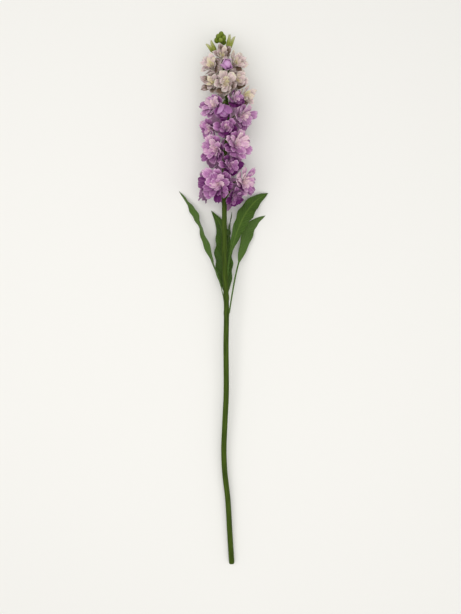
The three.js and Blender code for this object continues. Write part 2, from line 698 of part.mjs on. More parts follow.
// The stem, cut square at its foot; grow as for the calyx
function stem(grow) {
  const centres = [];
  const radii = [];
  for (let i = 0; i <= STEM_RINGS; i++) {
    const at = (STEM_LENGTH * i) / STEM_RINGS;
    centres.push(stemCentre(at));
    radii.push(stemRadius(at) + grow);
  }
  return solid(skin(ringsAlong(centres, RIGHT, radii, STEM_SIDES)));
}

// One leaf's middle surface
function leafGrid(spec) {
  const grid = [];
  for (let i = 0; i <= LEAF_STEPS; i++) {
    const t = i / LEAF_STEPS;
    const centre = along(spec.line, t);
    const [before, after] = [Math.max(0, t - LEAF_NEAR), Math.min(1, t + LEAF_NEAR)];
    const way = along(spec.line, after).sub(along(spec.line, before)).normalize();
    const flat = new THREE.Vector3().crossVectors(way, UP).normalize();
    const top = new THREE.Vector3().crossVectors(flat, way);
    const roll = rad(THREE.MathUtils.lerp(spec.roll, spec.rollEnd, t));
    const across = flat.clone().multiplyScalar(Math.cos(roll)).addScaledVector(top, Math.sin(roll));
    const normal = new THREE.Vector3().crossVectors(across, way);
    const body = THREE.MathUtils.clamp((t - spec.stalk) / (1 - spec.stalk), 0, 1);
    const swell = Math.sin(Math.PI * body ** spec.skew) ** LEAF_FULLNESS;
    const half = Math.max((spec.width / 2) * swell, (LEAF_STALK / 2) * (1 - LEAF_TAPER * body));
    const laid = THREE.MathUtils.smoothstep(centre.z, LEAF_LOW, LEAF_FLAT_BELOW);
    grid.push(
      Array.from({ length: LEAF_COLS + 1 }, (_, j) => {
        const v = -1 + (2 * j) / LEAF_COLS;
        const turned = 2 * Math.PI * spec.waves * t + LEAF_SIDES * Math.sign(v);
        const wave = spec.wave * v * v * swell * Math.sin(turned);
        const lift = (LEAF_FOLD * half * Math.abs(v) + wave) * laid;
        const point = centre.clone().addScaledVector(across, v * half).addScaledVector(normal, lift);
        point.z = Math.max(point.z, LEAF_LOW);
        return point;
      }),
    );
  }
  return grid;
}

const leaf = (spec, thickness) => solid(blade(leafGrid(spec), thickness));

// Assembly
function petalColour({ at, kind }) {
  if (at < DEEP_BELOW) return COLOURS.deep;
  return at > PALE_ABOVE && kind !== "cupped" ? COLOURS.pale : COLOURS.lilac;
}
const number = (index) => String(index + 1).padStart(2, "0");

function piece(name, made, tint, roughness) {
  const material = new THREE.MeshStandardMaterial({ color: tint, roughness, metalness: 0 });
  const mesh = new THREE.Mesh(shape(made), material);
  mesh.name = name;
  return mesh;
}

const seats = BLOOMS.map(seat);
const budSeats = BUDS.map(seat);
const stemRoom = stem(SEAT_GAP);
const calyxRoom = BLOOMS.map((spec, i) => calyx(spec, seats[i], SEAT_GAP));
const leafRoom = LEAVES.map((spec) => leaf(spec, BLADE + 2 * SEAT_GAP));

const flower = new THREE.Group();
flower.add(piece("stem", stem(0), COLOURS.stem, 0.55));

const foliage = new THREE.Group();
LEAVES.forEach((spec) => {
  foliage.add(piece(spec.name, leaf(spec, BLADE).subtract(stemRoom), COLOURS.leaf, 0.5));
});

const spike = new THREE.Group();
const budSolids = BUDS.map((spec, i) => bud(spec, budSeats[i]).subtract(stemRoom));
BLOOMS.forEach((spec, i) => {
  spike.add(piece(`calyx_${number(i)}`, calyx(spec, seats[i], 0).subtract(stemRoom), COLOURS.calyx, 0.6));
  let petals = bloom(i, seats).subtract(stemRoom);
  calyxRoom.forEach((room, k) => {
    if (k !== i) petals = petals.subtract(room);
  });
  leafRoom.forEach((room) => {
    petals = petals.subtract(room);
  });
  spike.add(piece(`bloom_${number(i)}`, petals, petalColour(spec), 0.8));
});
BUDS.forEach((spec, i) => spike.add(piece(spec.name, budSolids[i], COLOURS.bud, 0.6)));
spike.add(piece("bud_tip", tipBuds().subtract(stemRoom), COLOURS.bud, 0.6));

flower.add(foliage, spike);
flower.position.set(...CENTRE_SHIFT);

export default flower;
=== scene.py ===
"""A cut stock flower stem lying on a pale floor, seen from above.

The fine petals, calyxes, buds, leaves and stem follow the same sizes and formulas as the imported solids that
they stand for, in millimetres, and are turned to metres where their meshes are made.
"""

import logging
import math
from collections.abc import Callable, Sequence
from dataclasses import dataclass, field
from enum import Enum
from functools import partial

import bpy
import numpy as np
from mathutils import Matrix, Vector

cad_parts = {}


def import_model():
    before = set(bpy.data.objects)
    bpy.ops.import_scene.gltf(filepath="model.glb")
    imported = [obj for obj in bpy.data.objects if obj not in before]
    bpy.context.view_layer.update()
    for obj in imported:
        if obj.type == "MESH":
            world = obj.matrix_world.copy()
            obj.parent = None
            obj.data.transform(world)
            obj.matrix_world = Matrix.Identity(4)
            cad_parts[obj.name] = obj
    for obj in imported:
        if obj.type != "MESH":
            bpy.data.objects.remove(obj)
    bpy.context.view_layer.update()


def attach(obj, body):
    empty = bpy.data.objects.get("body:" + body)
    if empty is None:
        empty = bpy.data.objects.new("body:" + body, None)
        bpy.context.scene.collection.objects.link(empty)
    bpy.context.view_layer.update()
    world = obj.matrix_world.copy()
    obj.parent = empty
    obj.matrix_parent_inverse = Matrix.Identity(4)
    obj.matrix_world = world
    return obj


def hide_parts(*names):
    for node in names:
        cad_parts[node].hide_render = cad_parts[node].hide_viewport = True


Array = np.ndarray

LOG = logging.getLogger("stock_flower_stem")
MM = 0.001
BODY = "root"

# Millimetres. +Y runs from the stem's cut end to the tip, +Z is up from the floor.
STEM_LENGTH = 866.0
CENTRE_SHIFT = np.array([13.87, -440.27, 0.0])  # brings the middle of the whole part's foot to the origin
UP = np.array([0.0, 0.0, 1.0])
RIGHT = np.array([1.0, 0.0, 0.0])
ASLANT = np.array([1.0, 0.0, 0.3])  # a direction that no bud at the tip points in
SEAT_GAP = 0.35  # clearance between neighbouring pieces
STEM_CLEAR = 1.0  # room between the stem and the petals over it

# The stem's line: distance from the cut end, sideways, height of its centre
STEM_LINE = (
    (0, 0, 4.6), (55, -3.4, 7.3), (115, -6.8, 10.2), (165, -12.0, 12.8), (205, -13.4, 14.8),
    (250, -11.6, 17.1), (305, -9.2, 20.0), (384, -9.4, 24.0), (446, -8.6, 27.2), (525, -11.8, 31.3),
    (620, -12.0, 35.6), (672, -12.1, 36.6), (720, -8.2, 37.0), (757, -6.4, 37.0), (790, -9.8, 36.8),
    (822, -12.4, 36.4), (866, -17.2, 35.4),
)
STEM_RADIUS = ((0, 4.7), (300, 4.5), (450, 4.3), (600, 4.0), (700, 3.2), (780, 2.4), (866, 1.7))

# The generator of seeded draws
DRAW_TIMES = 1664525
DRAW_PLUS = 1013904223
DRAW_RANGE = 4294967296

# Shape of a petal, in shares of its length or half width
PETAL_CLAW = 0.8  # half of its width at its foot, in millimetres
PETAL_BROADEST = 0.72
PETAL_DRAW = 0.34  # how far the rounded end draws back at the sides
PETAL_FULLNESS = 0.95
NOTCH_HALF = 0.2  # how broad the notch in its end is
SHINGLE_FOOT = 28.0  # degrees that it tips over the next petal, at its foot and tip
SHINGLE_TIP = 12.0
RUFFLE = 0.03  # height of its broad wave, which the solids have too, and its turns along and across
RUFFLE_ALONG = 5.0
RUFFLE_ACROSS = 2.2
# Fine ruffles at the edge: height, turns by the petal's own phase, across it and along it
FRILL_WAVES = ((1.0, 2, 8.5, 3), (0.6, 3, -15, 5))
FRILL_FROM = 0.35  # where along the petal they begin
FRILL_MIDDLE = 0.35  # what is left of them in the petal's middle
CURL = 0.13  # how far the tip curls in or out
CURL_FROM = 0.5
CURL_DRAW = 7  # makes the curl vary apart from the phase
TONE_DRAW = 5  # makes the tone vary apart from the phase
# How petals differ: the lowest and highest draw of their solids, and how much more the fine ones vary
SPREADS = {
    "turn": (-0.03, 0.03, 1.0),
    "length": (-0.07, 0.07, 2.0),
    "width": (-0.06, 0.06, 2.0),
    "open": (-6.0, 6.0, 1.8),
    "cup": (-0.04, 0.05, 4.0),
    "tilt": (-3.0, 3.0, 3.0),
    "sway": (-0.04, 0.04, 2.0),
}

# How petals give way to their neighbours
SOLID_BLADE = 0.8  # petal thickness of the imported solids
SOLID_ROWS = ((0.0, (-1, 1)), (0.5, (-1, 0, 1)), (1.0, (-1, 0, 1)))  # their points along and across a petal
SQUEEZE_LIFT = 0.5  # shares by which a fully squeezed petal closes, shortens and narrows
SQUEEZE_SHRINK = 0.48
SQUEEZE_NARROW = 0.45
SQUEEZE_STEP = 0.05
SQUEEZE_SLOPE = 0.004  # how fast the squeeze eases off, for each degree round the bloom
SQUEEZE_LOOK = 20  # degrees between the places that are looked at
FINE_SQUEEZE = 0.55  # share of it that a fine petal takes, because it bends along its neighbours
PETAL_ROOM = 0.2  # from a fine petal's middle surface to its neighbour's wall
PRESS_SOFT = 2.5  # how far before a wall a petal starts to bend along it
BLOOM_MIDDLE = 0.3  # share of its reach, from its throat
CUP_MIDDLE = 0.5
CUP_BULK = 0.7  # room that a cupped bloom takes, a share of what an open one takes


class Kind(Enum):
    """How far a bloom has opened."""

    FULL = "full"
    OPEN = "open"
    WIDE = "wide"
    STARRY = "starry"
    CUPPED = "cupped"


class Tint(Enum):
    """Colour of a bloom, by its material slot."""

    DEEP = "petal_deep"
    LILAC = "petal_lilac"
    PALE = "petal_pale"


@dataclass
class Draws:
    """Seeded draws, the same on every run."""

    state: int

    def between(self, low: float, high: float) -> float:
        """Returns the next draw between low and high."""
        self.state = (self.state * DRAW_TIMES + DRAW_PLUS) % DRAW_RANGE
        return low + (high - low) * self.state / DRAW_RANGE


def smooth(table: Sequence[Sequence[float]], column: int, at: float) -> float:
    """Reads a smooth value from one column of a table.

    Args:
        table: Rows of numbers, the first of each row rising from row to row.
        column: The column to read.
        at: Where to read it, in the first column's unit.

    Returns:
        The value, on a curve through all the rows.
    """
    last = len(table) - 1
    t = min(max(at, table[0][0]), table[last][0])
    above = next(k for k, row in enumerate(table) if row[0] >= t)
    i = min(last - 1, max(0, above - 1))

    def slope(k: int) -> float:
        """Returns the curve's slope at row k."""
        a, b = table[max(0, k - 1)], table[min(last, k + 1)]
        return (b[column] - a[column]) / (b[0] - a[0])

    p, q = table[i], table[i + 1]
    span = q[0] - p[0]
    s = (t - p[0]) / span
    ends = (2 * s**3 - 3 * s**2 + 1) * p[column] + (3 * s**2 - 2 * s**3) * q[column]
    return ends + span * ((s**3 - 2 * s**2 + s) * slope(i) + (s**3 - s**2) * slope(i + 1))


def along(points: Sequence[Sequence[float]], t: float) -> Array:
    """Returns the point at t, from 0 to 1, on a smooth curve through points that part it evenly."""
    rows = [(k / (len(points) - 1), *p) for k, p in enumerate(points)]
    return np.array([smooth(rows, column, t) for column in (1, 2, 3)])


def unit(v: Array) -> Array:
    """Returns a direction, or each of an array of them, at length one."""
    return v / np.linalg.norm(v, axis=-1, keepdims=True)


def ease(low: float, high: float, x: Array) -> Array:
    """Returns 0 below low, 1 above high and a smooth rise between them."""
    s = np.clip((x - low) / (high - low), 0, 1)
    return s * s * (3 - 2 * s)


def circle(sides: int) -> Array:
    """Returns even angles round a ring of points."""
    return 2 * np.pi * np.arange(sides) / sides


def run(line: Array) -> Array:
    """Returns how far along a line each of its points lies."""
    return np.concatenate([[0], np.cumsum(np.linalg.norm(np.diff(line, axis=0), axis=1))])


def stacked(*parts: Array | float) -> Array:
    """Returns numbers side by side as points, each part spread over the others' shape."""
    return np.stack(np.broadcast_arrays(*parts), axis=-1)


def stem_centre(at: float) -> Array:
    """Returns the stem's centre at a distance from its cut end."""
    return np.array([smooth(STEM_LINE, 1, at), at, smooth(STEM_LINE, 2, at)])


def stem_radius(at: float) -> float:
    """Returns the stem's radius at a distance from its cut end."""
    return smooth(STEM_RADIUS, 1, at)


def stem_way(at: float) -> Array:
    """Returns the stem's direction at a distance from its cut end."""
    return unit(stem_centre(at + 1) - stem_centre(at - 1))


def radial(at: float, turn: float) -> Array:
    """Finds the direction away from the stem at a turn about it.

    Args:
        at: Distance from the stem's cut end.
        turn: Degrees from straight up.

    Returns:
        The direction, square to the stem.
    """
    way = stem_way(at)
    right = unit(np.cross(way, UP))
    top = np.cross(right, way)
    return top * math.cos(math.radians(turn)) + right * math.sin(math.radians(turn))


@dataclass(frozen=True)
class Seat:
    """Where a bloom or bud sits, the way it faces and two directions square to that."""

    throat: Array
    face: Array
    side: Array
    top: Array
    outward: Array

    @classmethod
    def on_stem(cls, at: float, turn: float, out: float, lean: float, swing: float = 0.0) -> "Seat":
        """Makes the seat of a bloom or bud.

        Args:
            at: Distance from the stem's cut end.
            turn: Degrees round the stem from straight up.
            out: Distance of the throat from the stem's centre.
            lean: Degrees that it faces towards the tip.
            swing: Degrees that it faces further round the stem than it sits.

        Returns:
            The seat.
        """
        outward = radial(at, turn)
        facing = radial(at, turn + swing)
        way = stem_way(at)
        face = facing * math.cos(math.radians(lean)) + way * math.sin(math.radians(lean))
        side = unit(np.cross(way, facing))
        return cls(stem_centre(at) + outward * out, face, side, np.cross(face, side), outward)

    def out_at(self, phi: Array) -> Array:
        """Returns the directions away from the axis at angles round it."""
        return np.cos(phi)[..., None] * self.side + np.sin(phi)[..., None] * self.top

    def up(self, height: float) -> Array:
        """Returns the point on the axis at a height above the throat."""
        return self.throat + self.face * height

    def rings(self, rows: Sequence[tuple[Array | float, Array | float]], sides: int) -> Array:
        """Lays rings of points about the axis.

        Args:
            rows: Height above the throat and radius of each ring, or of each of its points.
            sides: Points in a ring.

        Returns:
            Points, ring by ring.
        """
        spread = [[np.broadcast_to(part, sides) for part in row] for row in rows]
        heights, radii = np.array(spread).swapaxes(0, 1)
        return self.throat + heights[..., None] * self.face + radii[..., None] * self.out_at(circle(sides))


def rings_along(centres: Array, sideways: Array, radii: Array, sides: int) -> Array:
    """Lays rings of points along a line, square to it.

    Args:
        centres: Points of the line.
        sideways: A steady direction that the rings start from.
        radii: Radius of each ring, or of each point of each ring.
        sides: Points in a ring.

    Returns:
        Points, ring by ring.
    """
    way = unit(np.gradient(centres, axis=0))
    right = unit(sideways - (way @ sideways)[:, None] * way)
    top = np.cross(way, right)
    reach = np.broadcast_to(radii.reshape(len(centres), -1), (len(centres), sides))
    angle = circle(sides)[None, :, None]
    across = np.cos(angle) * right[:, None] + np.sin(angle) * top[:, None]
    return centres[:, None] + reach[..., None] * across


@dataclass
class Skin:
    """Points, faces and shading marks of one piece while it is built, in millimetres.

    zone holds a point's place on its blade or tube: along it from 0 to 1, across it from -1 to 1, and 1 on
    the back. flow holds the same in millimetres, with the blade's number. tone is how deep a petal's colour
    is, painted shade and painted highlight included, plain at 0 and paler below it, or how far a green skin
    has turned to its second colour.
    """

    points: list[Array] = field(default_factory=list)
    zones: list[Array] = field(default_factory=list)
    flows: list[Array] = field(default_factory=list)
    tones: list[Array] = field(default_factory=list)
    faces: list[Array] = field(default_factory=list)
    count: int = 0
    blades: int = 0

    def _add(
        self, points: Array, zone: Array, flow: Array, tone: Array | float, faces: Sequence[Array]
    ) -> None:
        """Adds points with their marks, and faces.

        Args:
            points: The points.
            zone: Their places in shares.
            flow: Their places in millimetres.
            tone: Their tones, or one for several of them.
            faces: Numbers of each face's points, from 0.
        """
        self.points.append(points.reshape(-1, 3))
        self.zones.append(zone.reshape(-1, 3))
        self.flows.append(flow.reshape(-1, 3))
        self.tones.append(np.broadcast_to(tone, points.shape[:-1]).reshape(-1))
        self.faces.extend(np.asarray(f) + self.count for f in faces)
        self.count += len(self.points[-1])

    def add_blade(self, grid: Array, half: Array, s: Array, v: Array, tone: Array | float) -> None:
        """Adds a thin closed blade over a grid of its middle surface.

        Args:
            grid: Points, row by row from the foot.
            half: Half of the thickness at each point.
            s: Place of each row along the blade, from 0 to 1.
            v: Place of each column across it, from -1 to 1.
            tone: Tone of the whole blade, or of each row or point.
        """
        rows, cols = grid.shape[:2]
        normal = unit(np.cross(np.gradient(grid, axis=0), np.gradient(grid, axis=1)))
        offset = normal * half[..., None]
        spine = grid[:, cols // 2]
        off = np.linalg.norm(grid - spine[:, None], axis=2) * np.sign(v)
        self.blades += 1
        flow = stacked(off, run(spine)[:, None], self.blades)
        front, back = (stacked(s[:, None], v[None], side) for side in (0.0, 1.0))
        number = np.arange(rows * cols).reshape(rows, cols)
        quads = np.stack([number[:-1, :-1], number[1:, :-1], number[1:, 1:], number[:-1, 1:]], axis=-1)
        quads = quads.reshape(-1, 4)
        under = quads[:, ::-1] + rows * cols
        rim = np.concatenate([number[0], number[1:, -1], number[-1, -2::-1], number[-2:0:-1, 0]])
        ahead = np.roll(rim, -1)
        walls = np.stack([rim, ahead, ahead + rows * cols, rim + rows * cols], axis=-1)
        points = np.stack([grid + offset, grid - offset])
        self._add(points, np.stack([front, back]), np.stack([flow, flow]), tone, [*quads, *under, *walls])

    def add_tube(self, rings: Array, tone: Array | float = 0.0) -> None:
        """Adds a closed tube over rings of points, each end closed by one face.

        Args:
            rings: Points, ring by ring.
            tone: Tone of the whole tube, or of each ring or point.
        """
        count, sides = rings.shape[:2]
        centres = rings.mean(axis=1)
        length = run(centres)
        radius = np.linalg.norm(rings - centres[:, None], axis=2)
        angle = np.linspace(-np.pi, np.pi, sides, endpoint=False)
        self.blades += 1
        flow = stacked(angle * radius, length[:, None], self.blades)
        zone = stacked((length / length[-1])[:, None], angle / np.pi, 0.0)
        number = np.arange(count * sides).reshape(count, sides)
        ahead = np.roll(number, -1, axis=1)
        quads = np.stack([number[:-1], ahead[:-1], ahead[1:], number[1:]], axis=-1).reshape(-1, 4)
        self._add(rings, zone, flow, tone, [*quads, number[0][::-1], number[-1]])

    def to_piece(
        self, name: str, material: bpy.types.Material, node: str
    ) -> bpy.types.Object:
        """Makes the piece, in metres and in the part's frame, in the place of its solid.

        Args:
            name: The piece's name.
            material: Its finish.
            node: The solid that it stands for.

        Returns:
            The new object, linked to the scene.
        """
        mesh = bpy.data.meshes.new(name)
        points = (np.concatenate(self.points) + CENTRE_SHIFT) * MM
        mesh.from_pydata(points.tolist(), [], [f.tolist() for f in self.faces])
        for mark, values in (("zone", self.zones), ("flow", self.flows)):
            made = mesh.attributes.new(mark, "FLOAT_VECTOR", "POINT")
            made.data.foreach_set("vector", np.concatenate(values).ravel())
        mesh.attributes.new("tone", "FLOAT", "POINT").data.foreach_set("value", np.concatenate(self.tones))
        mesh.shade_smooth()
        mesh.materials.append(material)
        piece = bpy.data.objects.new(name, mesh)
        bpy.context.scene.collection.objects.link(piece)
        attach(piece, BODY)
        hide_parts(node)
        return piece


def linear(colour: str) -> tuple[float, float, float, float]:
    """Turns a colour to the linear one that shaders take.

    Args:
        colour: The sRGB colour, in hex.

    Returns:
        Its linear red, green and blue, and full alpha.
    """
    parts = [int(colour[k : k + 2], 16) / 255 for k in (1, 3, 5)]
    red, green, blue = (c / 12.92 if c <= 0.04045 else ((c + 0.055) / 1.055) ** 2.4 for c in parts)
    return red, green, blue, 1.0


def feed(node: bpy.types.Node, inputs: dict[str | int, object]) -> None:
    """Sets a node's inputs.

    Args:
        node: The node.
        inputs: For each input, a value, the socket that feeds it, or the node whose first output in use does.
    """
    for name, value in inputs.items():
        if isinstance(value, bpy.types.Node):
            value = next(output for output in value.outputs if output.enabled)
        if isinstance(value, bpy.types.NodeSocket):
            node.id_data.links.new(value, node.inputs[name])
        else:
            node.inputs[name].default_value = value


def add_node(
    tree: bpy.types.NodeTree,
    kind: str,
    settings: dict[str, object] | None = None,
    inputs: dict[str | int, object] | None = None,
    stops: Sequence[tuple[float, str]] = (),
) -> bpy.types.Node:
    """Adds a shader node with its settings and links.

    Args:
        tree: The material's node tree.
        kind: The node's type, without the ShaderNode that all their names start with.
        settings: The node's properties.
        inputs: What its inputs get, as for feed.
        stops: Places and hex colours of a colour ramp.

    Returns:
        The node.
    """
    node = tree.nodes.new(f"ShaderNode{kind}")
    for name, value in (settings or {}).items():
        setattr(node, name, value)
    feed(node, inputs or {})
    for k, (place, colour) in enumerate(stops):
        stop = node.color_ramp.elements[k] if k < 2 else node.color_ramp.elements.new(place)
        stop.position = place
        stop.color = linear(colour)
    return node


def new_material(
    name: str, principled: dict[str, object]
) -> tuple[bpy.types.Material, bpy.types.Node, Callable[..., bpy.types.Node]]:
    """Makes a material with its values set on the shader itself.

    Args:
        name: The finish's name.
        principled: Values for the shader's sockets.

    Returns:
        The material, its shader node, and add_node for its tree.
    """
    material = bpy.data.materials.new(name)
    material.use_nodes = True
    shader = material.node_tree.nodes["Principled BSDF"]
    feed(shader, principled)
    return material, shader, partial(add_node, material.node_tree)


# Settings that several nodes share
COLOURS = {"data_type": "RGBA"}
SMOOTHLY = {"interpolation_type": "SMOOTHSTEP"}
TIMES_PLUS = {"operation": "MULTIPLY_ADD"}
TIMES_CLAMPED = {"operation": "MULTIPLY", "use_clamp": True}


@dataclass(frozen=True)
class PetalTissue:
    """Thin soft petal, grown with fine veins that fan out from its foot.

    To the eye it is matt and a little glowing, pale at the heart, fuller in colour outwards and deeper by its
    tone, which holds painted shade in hollows and on the low side as well as its own deeper colour, with
    faint streaks along it.
    """

    name: str
    heart: str
    throat: str
    body: str
    rim: str
    # colour of a high tone: the petal's own deep colour, and painted shade in hollows and on the low side
    shade: str
    vein: str
    roughness: float = 0.62
    ior: float = 1.4
    heart_share: float = 0.2  # how far up a petal its throat colour is reached
    streak_width_mm: float = 1.6
    streak_length_mm: float = 9.0
    clouds_per_mm: float = 0.11
    blade_step: float = 7.3  # parts the streaks of one petal from the next one's
    paling: float = 1.1  # how fast a petal pales as its tone falls below nought
    vein_turns: float = 22.0  # from the petal's middle to its edge, in radians
    vein_wander: float = 5.0
    vein_depth_mm: float = 0.12
    grain_mm: float = 0.7  # petal cells are finer than this, and drawn coarser to show

    def make(self) -> bpy.types.Material:
        """Builds the material.

        Returns:
            The material.
        """
        material, shader, add = new_material(
            self.name,
            {
                "Roughness": self.roughness,
                "IOR": self.ior,
                "Specular IOR Level": 0.3,
                "Subsurface Weight": 0.12,
                "Subsurface Radius": (1.0, 0.4, 1.0),
                "Subsurface Scale": 1.2 * MM,
                "Sheen Weight": 0.06,
                "Sheen Roughness": 0.5,
            },
        )
        zone, flow, tone = (add("Attribute", {"attribute_name": mark}) for mark in ("zone", "flow", "tone"))
        place = add("SeparateXYZ", None, {0: zone.outputs["Vector"]})
        mm = flow.outputs["Vector"]
        ends = ((0.5, self.body), (0.86, self.body), (1.0, self.rim))
        stops = ((0.0, self.heart), (self.heart_share, self.throat), *ends)
        gradient = add("ValToRGB", None, {0: place.outputs["X"]}, stops)
        scale = (1 / self.streak_width_mm, 1 / self.streak_length_mm, self.blade_step)
        stretched = add("VectorMath", {"operation": "MULTIPLY"}, {0: mm, 1: scale})
        streaks = add("TexNoise", None, {"Vector": stretched, "Scale": 1.0, "Detail": 3.0})
        clouds = add("TexNoise", None, {"Vector": mm, "Scale": self.clouds_per_mm, "Detail": 2.0})
        mottled = add("Math", {"operation": "ADD"}, {0: streaks, 1: clouds})
        reach = {"From Min": 0.75, "From Max": 1.3, "To Min": -0.32, "To Max": 0.32}
        swing = add("MapRange", None, {"Value": mottled, **reach})
        # the tone brings painted shade, as well as deeper petals, into the mix towards the shade colour
        depth = add("Math", {"operation": "ADD"}, {0: tone.outputs["Fac"], 1: swing})
        paling = add("Math", TIMES_CLAMPED, {0: depth, 1: -self.paling})
        paled = add("Mix", COLOURS, {0: paling, 6: gradient, 7: linear(self.throat)})
        outwards = add("MapRange", SMOOTHLY, {"Value": place.outputs["X"], "From Min": 0.0, "From Max": 0.14})
        shaded = add("Math", TIMES_CLAMPED, {0: depth, 1: outwards})
        deep = add("Mix", COLOURS, {0: shaded, 6: paled, 7: linear(self.shade)})
        wander = add("Math", {"operation": "MULTIPLY"}, {0: clouds, 1: self.vein_wander})
        fan = add("Math", TIMES_PLUS, {0: place.outputs["Y"], 1: self.vein_turns, 2: wander})
        ripple = add("Math", {"operation": "SINE"}, {0: fan})
        crests = {"From Min": 0.55, "From Max": 1.0, "To Min": 0.0, "To Max": 0.3}
        vein = add("MapRange", SMOOTHLY, {"Value": ripple, **crests})
        veined = add("Mix", COLOURS, {0: vein, 6: deep, 7: linear(self.vein)})
        behind = add("Math", {"operation": "MULTIPLY"}, {0: place.outputs["Z"], 1: 0.3})
        backed = add("Mix", COLOURS, {0: behind, 6: veined, 7: linear(self.rim)})
        cells = add("TexNoise", None, {"Vector": mm, "Scale": 1 / self.grain_mm, "Detail": 2.0})
        relief = add("Math", TIMES_PLUS, {0: cells, 1: 0.3, 2: ripple})
        bump = add("Bump", None, {"Strength": 0.35, "Distance": self.vein_depth_mm * MM, "Height": relief})
        feed(shader, {"Base Color": backed, "Normal": bump})
        return material


@dataclass(frozen=True)
class LeafBlade:
    """Waxy leaf with a paler midrib and slanting side veins.

    To the eye it is deep green and satin, lighter along the midrib and duller and greyer on its back.
    """

    name: str = "waxy_leaf"
    deep: str = "#142a00"
    fresh: str = "#355400"
    midrib: str = "#647c2c"
    back: str = "#506a30"
    roughness: float = 0.42
    ior: float = 1.45
    midrib_share: float = 0.05
    midrib_fade: float = 0.15
    vein_spacing_mm: float = 6.5
    vein_slant: float = -1.3
    vein_wander: float = 6.0
    vein_depth_mm: float = 0.35
    mottle_mm: float = 14.0

    def make(self) -> bpy.types.Material:
        """Builds the material.

        Returns:
            The material.
        """
        material, shader, add = new_material(
            self.name,
            {
                "Roughness": self.roughness,
                "IOR": self.ior,
                "Specular IOR Level": 0.1,
                "Subsurface Weight": 0.06,
                "Subsurface Radius": (0.4, 1.0, 0.3),
                "Subsurface Scale": 1.0 * MM,
            },
        )
        zone, flow, tone = (add("Attribute", {"attribute_name": mark}) for mark in ("zone", "flow", "tone"))
        place = add("SeparateXYZ", None, {0: zone.outputs["Vector"]})
        mm = add("SeparateXYZ", None, {0: flow.outputs["Vector"]})
        mottle = {"Vector": flow.outputs["Vector"], "Scale": 1 / self.mottle_mm, "Detail": 4.0}
        clouds = add("TexNoise", None, mottle)
        green = add("ValToRGB", None, {0: clouds}, ((0.32, self.deep), (0.72, self.fresh)))
        off = add("Math", {"operation": "ABSOLUTE"}, {0: mm.outputs["X"]})
        slant = add("Math", TIMES_PLUS, {0: off, 1: self.vein_slant, 2: mm.outputs["Y"]})
        turned = add("Math", {"operation": "MULTIPLY"}, {0: slant, 1: 2 * math.pi / self.vein_spacing_mm})
        wander = add("Math", TIMES_PLUS, {0: clouds, 1: self.vein_wander, 2: turned})
        ripple = add("Math", {"operation": "SINE"}, {0: wander})
        crests = {"From Min": 0.7, "From Max": 1.0, "To Min": 0.0, "To Max": 0.28}
        vein = add("MapRange", SMOOTHLY, {"Value": ripple, **crests})
        veined = add("Mix", COLOURS, {0: vein, 6: green, 7: linear(self.midrib)})
        away = add("Math", {"operation": "ABSOLUTE"}, {0: place.outputs["Y"]})
        band = {"From Min": self.midrib_share, "From Max": self.midrib_fade, "To Min": 0.75, "To Max": 0.0}
        rib = add("MapRange", SMOOTHLY, {"Value": away, **band})
        ribbed = add("Mix", COLOURS, {0: rib, 6: veined, 7: linear(self.midrib)})
        clamped = {"operation": "MULTIPLY_ADD", "use_clamp": True}
        behind = add("Math", clamped, {0: place.outputs["Z"], 1: 0.55, 2: tone.outputs["Fac"]})
        backed = add("Mix", COLOURS, {0: behind, 6: ribbed, 7: linear(self.back)})
        bump = add("Bump", None, {"Strength": 0.5, "Distance": self.vein_depth_mm * MM, "Height": ripple})
        feed(shader, {"Base Color": backed, "Normal": bump})
        return material


@dataclass(frozen=True)
class GreenSkin:
    """Smooth green skin of a stem, sepal or bud, with faint streaks along it.

    To the eye it is satin and even, lighter and darker in streaks, and turns to a second colour by its tone.
    """

    name: str
    dark: str
    light: str
    toned: str
    roughness: float
    streak_width_mm: float
    streak_length_mm: float
    relief_mm: float
    blade_step: float = 5.1  # parts the streaks of one tube from the next one's
    ior: float = 1.45

    def make(self) -> bpy.types.Material:
        """Builds the material.

        Returns:
            The material.
        """
        material, shader, add = new_material(
            self.name,
            {
                "Roughness": self.roughness,
                "IOR": self.ior,
                "Specular IOR Level": 0.1,
                "Subsurface Weight": 0.08,
                "Subsurface Radius": (0.5, 1.0, 0.3),
                "Subsurface Scale": 1.0 * MM,
            },
        )
        flow, tone = (add("Attribute", {"attribute_name": mark}) for mark in ("flow", "tone"))
        scale = (1 / self.streak_width_mm, 1 / self.streak_length_mm, self.blade_step)
        stretched = add("VectorMath", {"operation": "MULTIPLY"}, {0: flow.outputs["Vector"], 1: scale})
        streaks = add("TexNoise", None, {"Vector": stretched, "Scale": 1.0, "Detail": 4.0})
        green = add("ValToRGB", None, {0: streaks}, ((0.3, self.dark), (0.7, self.light)))
        toned = add("Mix", COLOURS, {0: tone.outputs["Fac"], 6: green, 7: linear(self.toned)})
        bump = add("Bump", None, {"Strength": 0.5, "Distance": self.relief_mm * MM, "Height": streaks})
        feed(shader, {"Base Color": toned, "Normal": bump})
        return material


@dataclass(frozen=True)
class BackdropPaper:
    """Matt off-white paper under the flower, plain, with a faint tooth."""

    name: str = "backdrop_paper"
    colour: str = "#efede7"
    roughness: float = 0.9
    tooth_per_m: float = 900.0
    tooth_depth_mm: float = 0.1

    def make(self) -> bpy.types.Material:
        """Builds the material.

        Returns:
            The material.
        """
        matt = {"Roughness": self.roughness, "Base Color": linear(self.colour)}
        material, shader, add = new_material(self.name, matt)
        place = add("TexCoord")
        tooth = add("TexNoise", None, {"Vector": place.outputs["Object"], "Scale": self.tooth_per_m})
        bump = add("Bump", None, {"Strength": 0.05, "Distance": self.tooth_depth_mm * MM, "Height": tooth})
        feed(shader, {"Normal": bump})
        return material
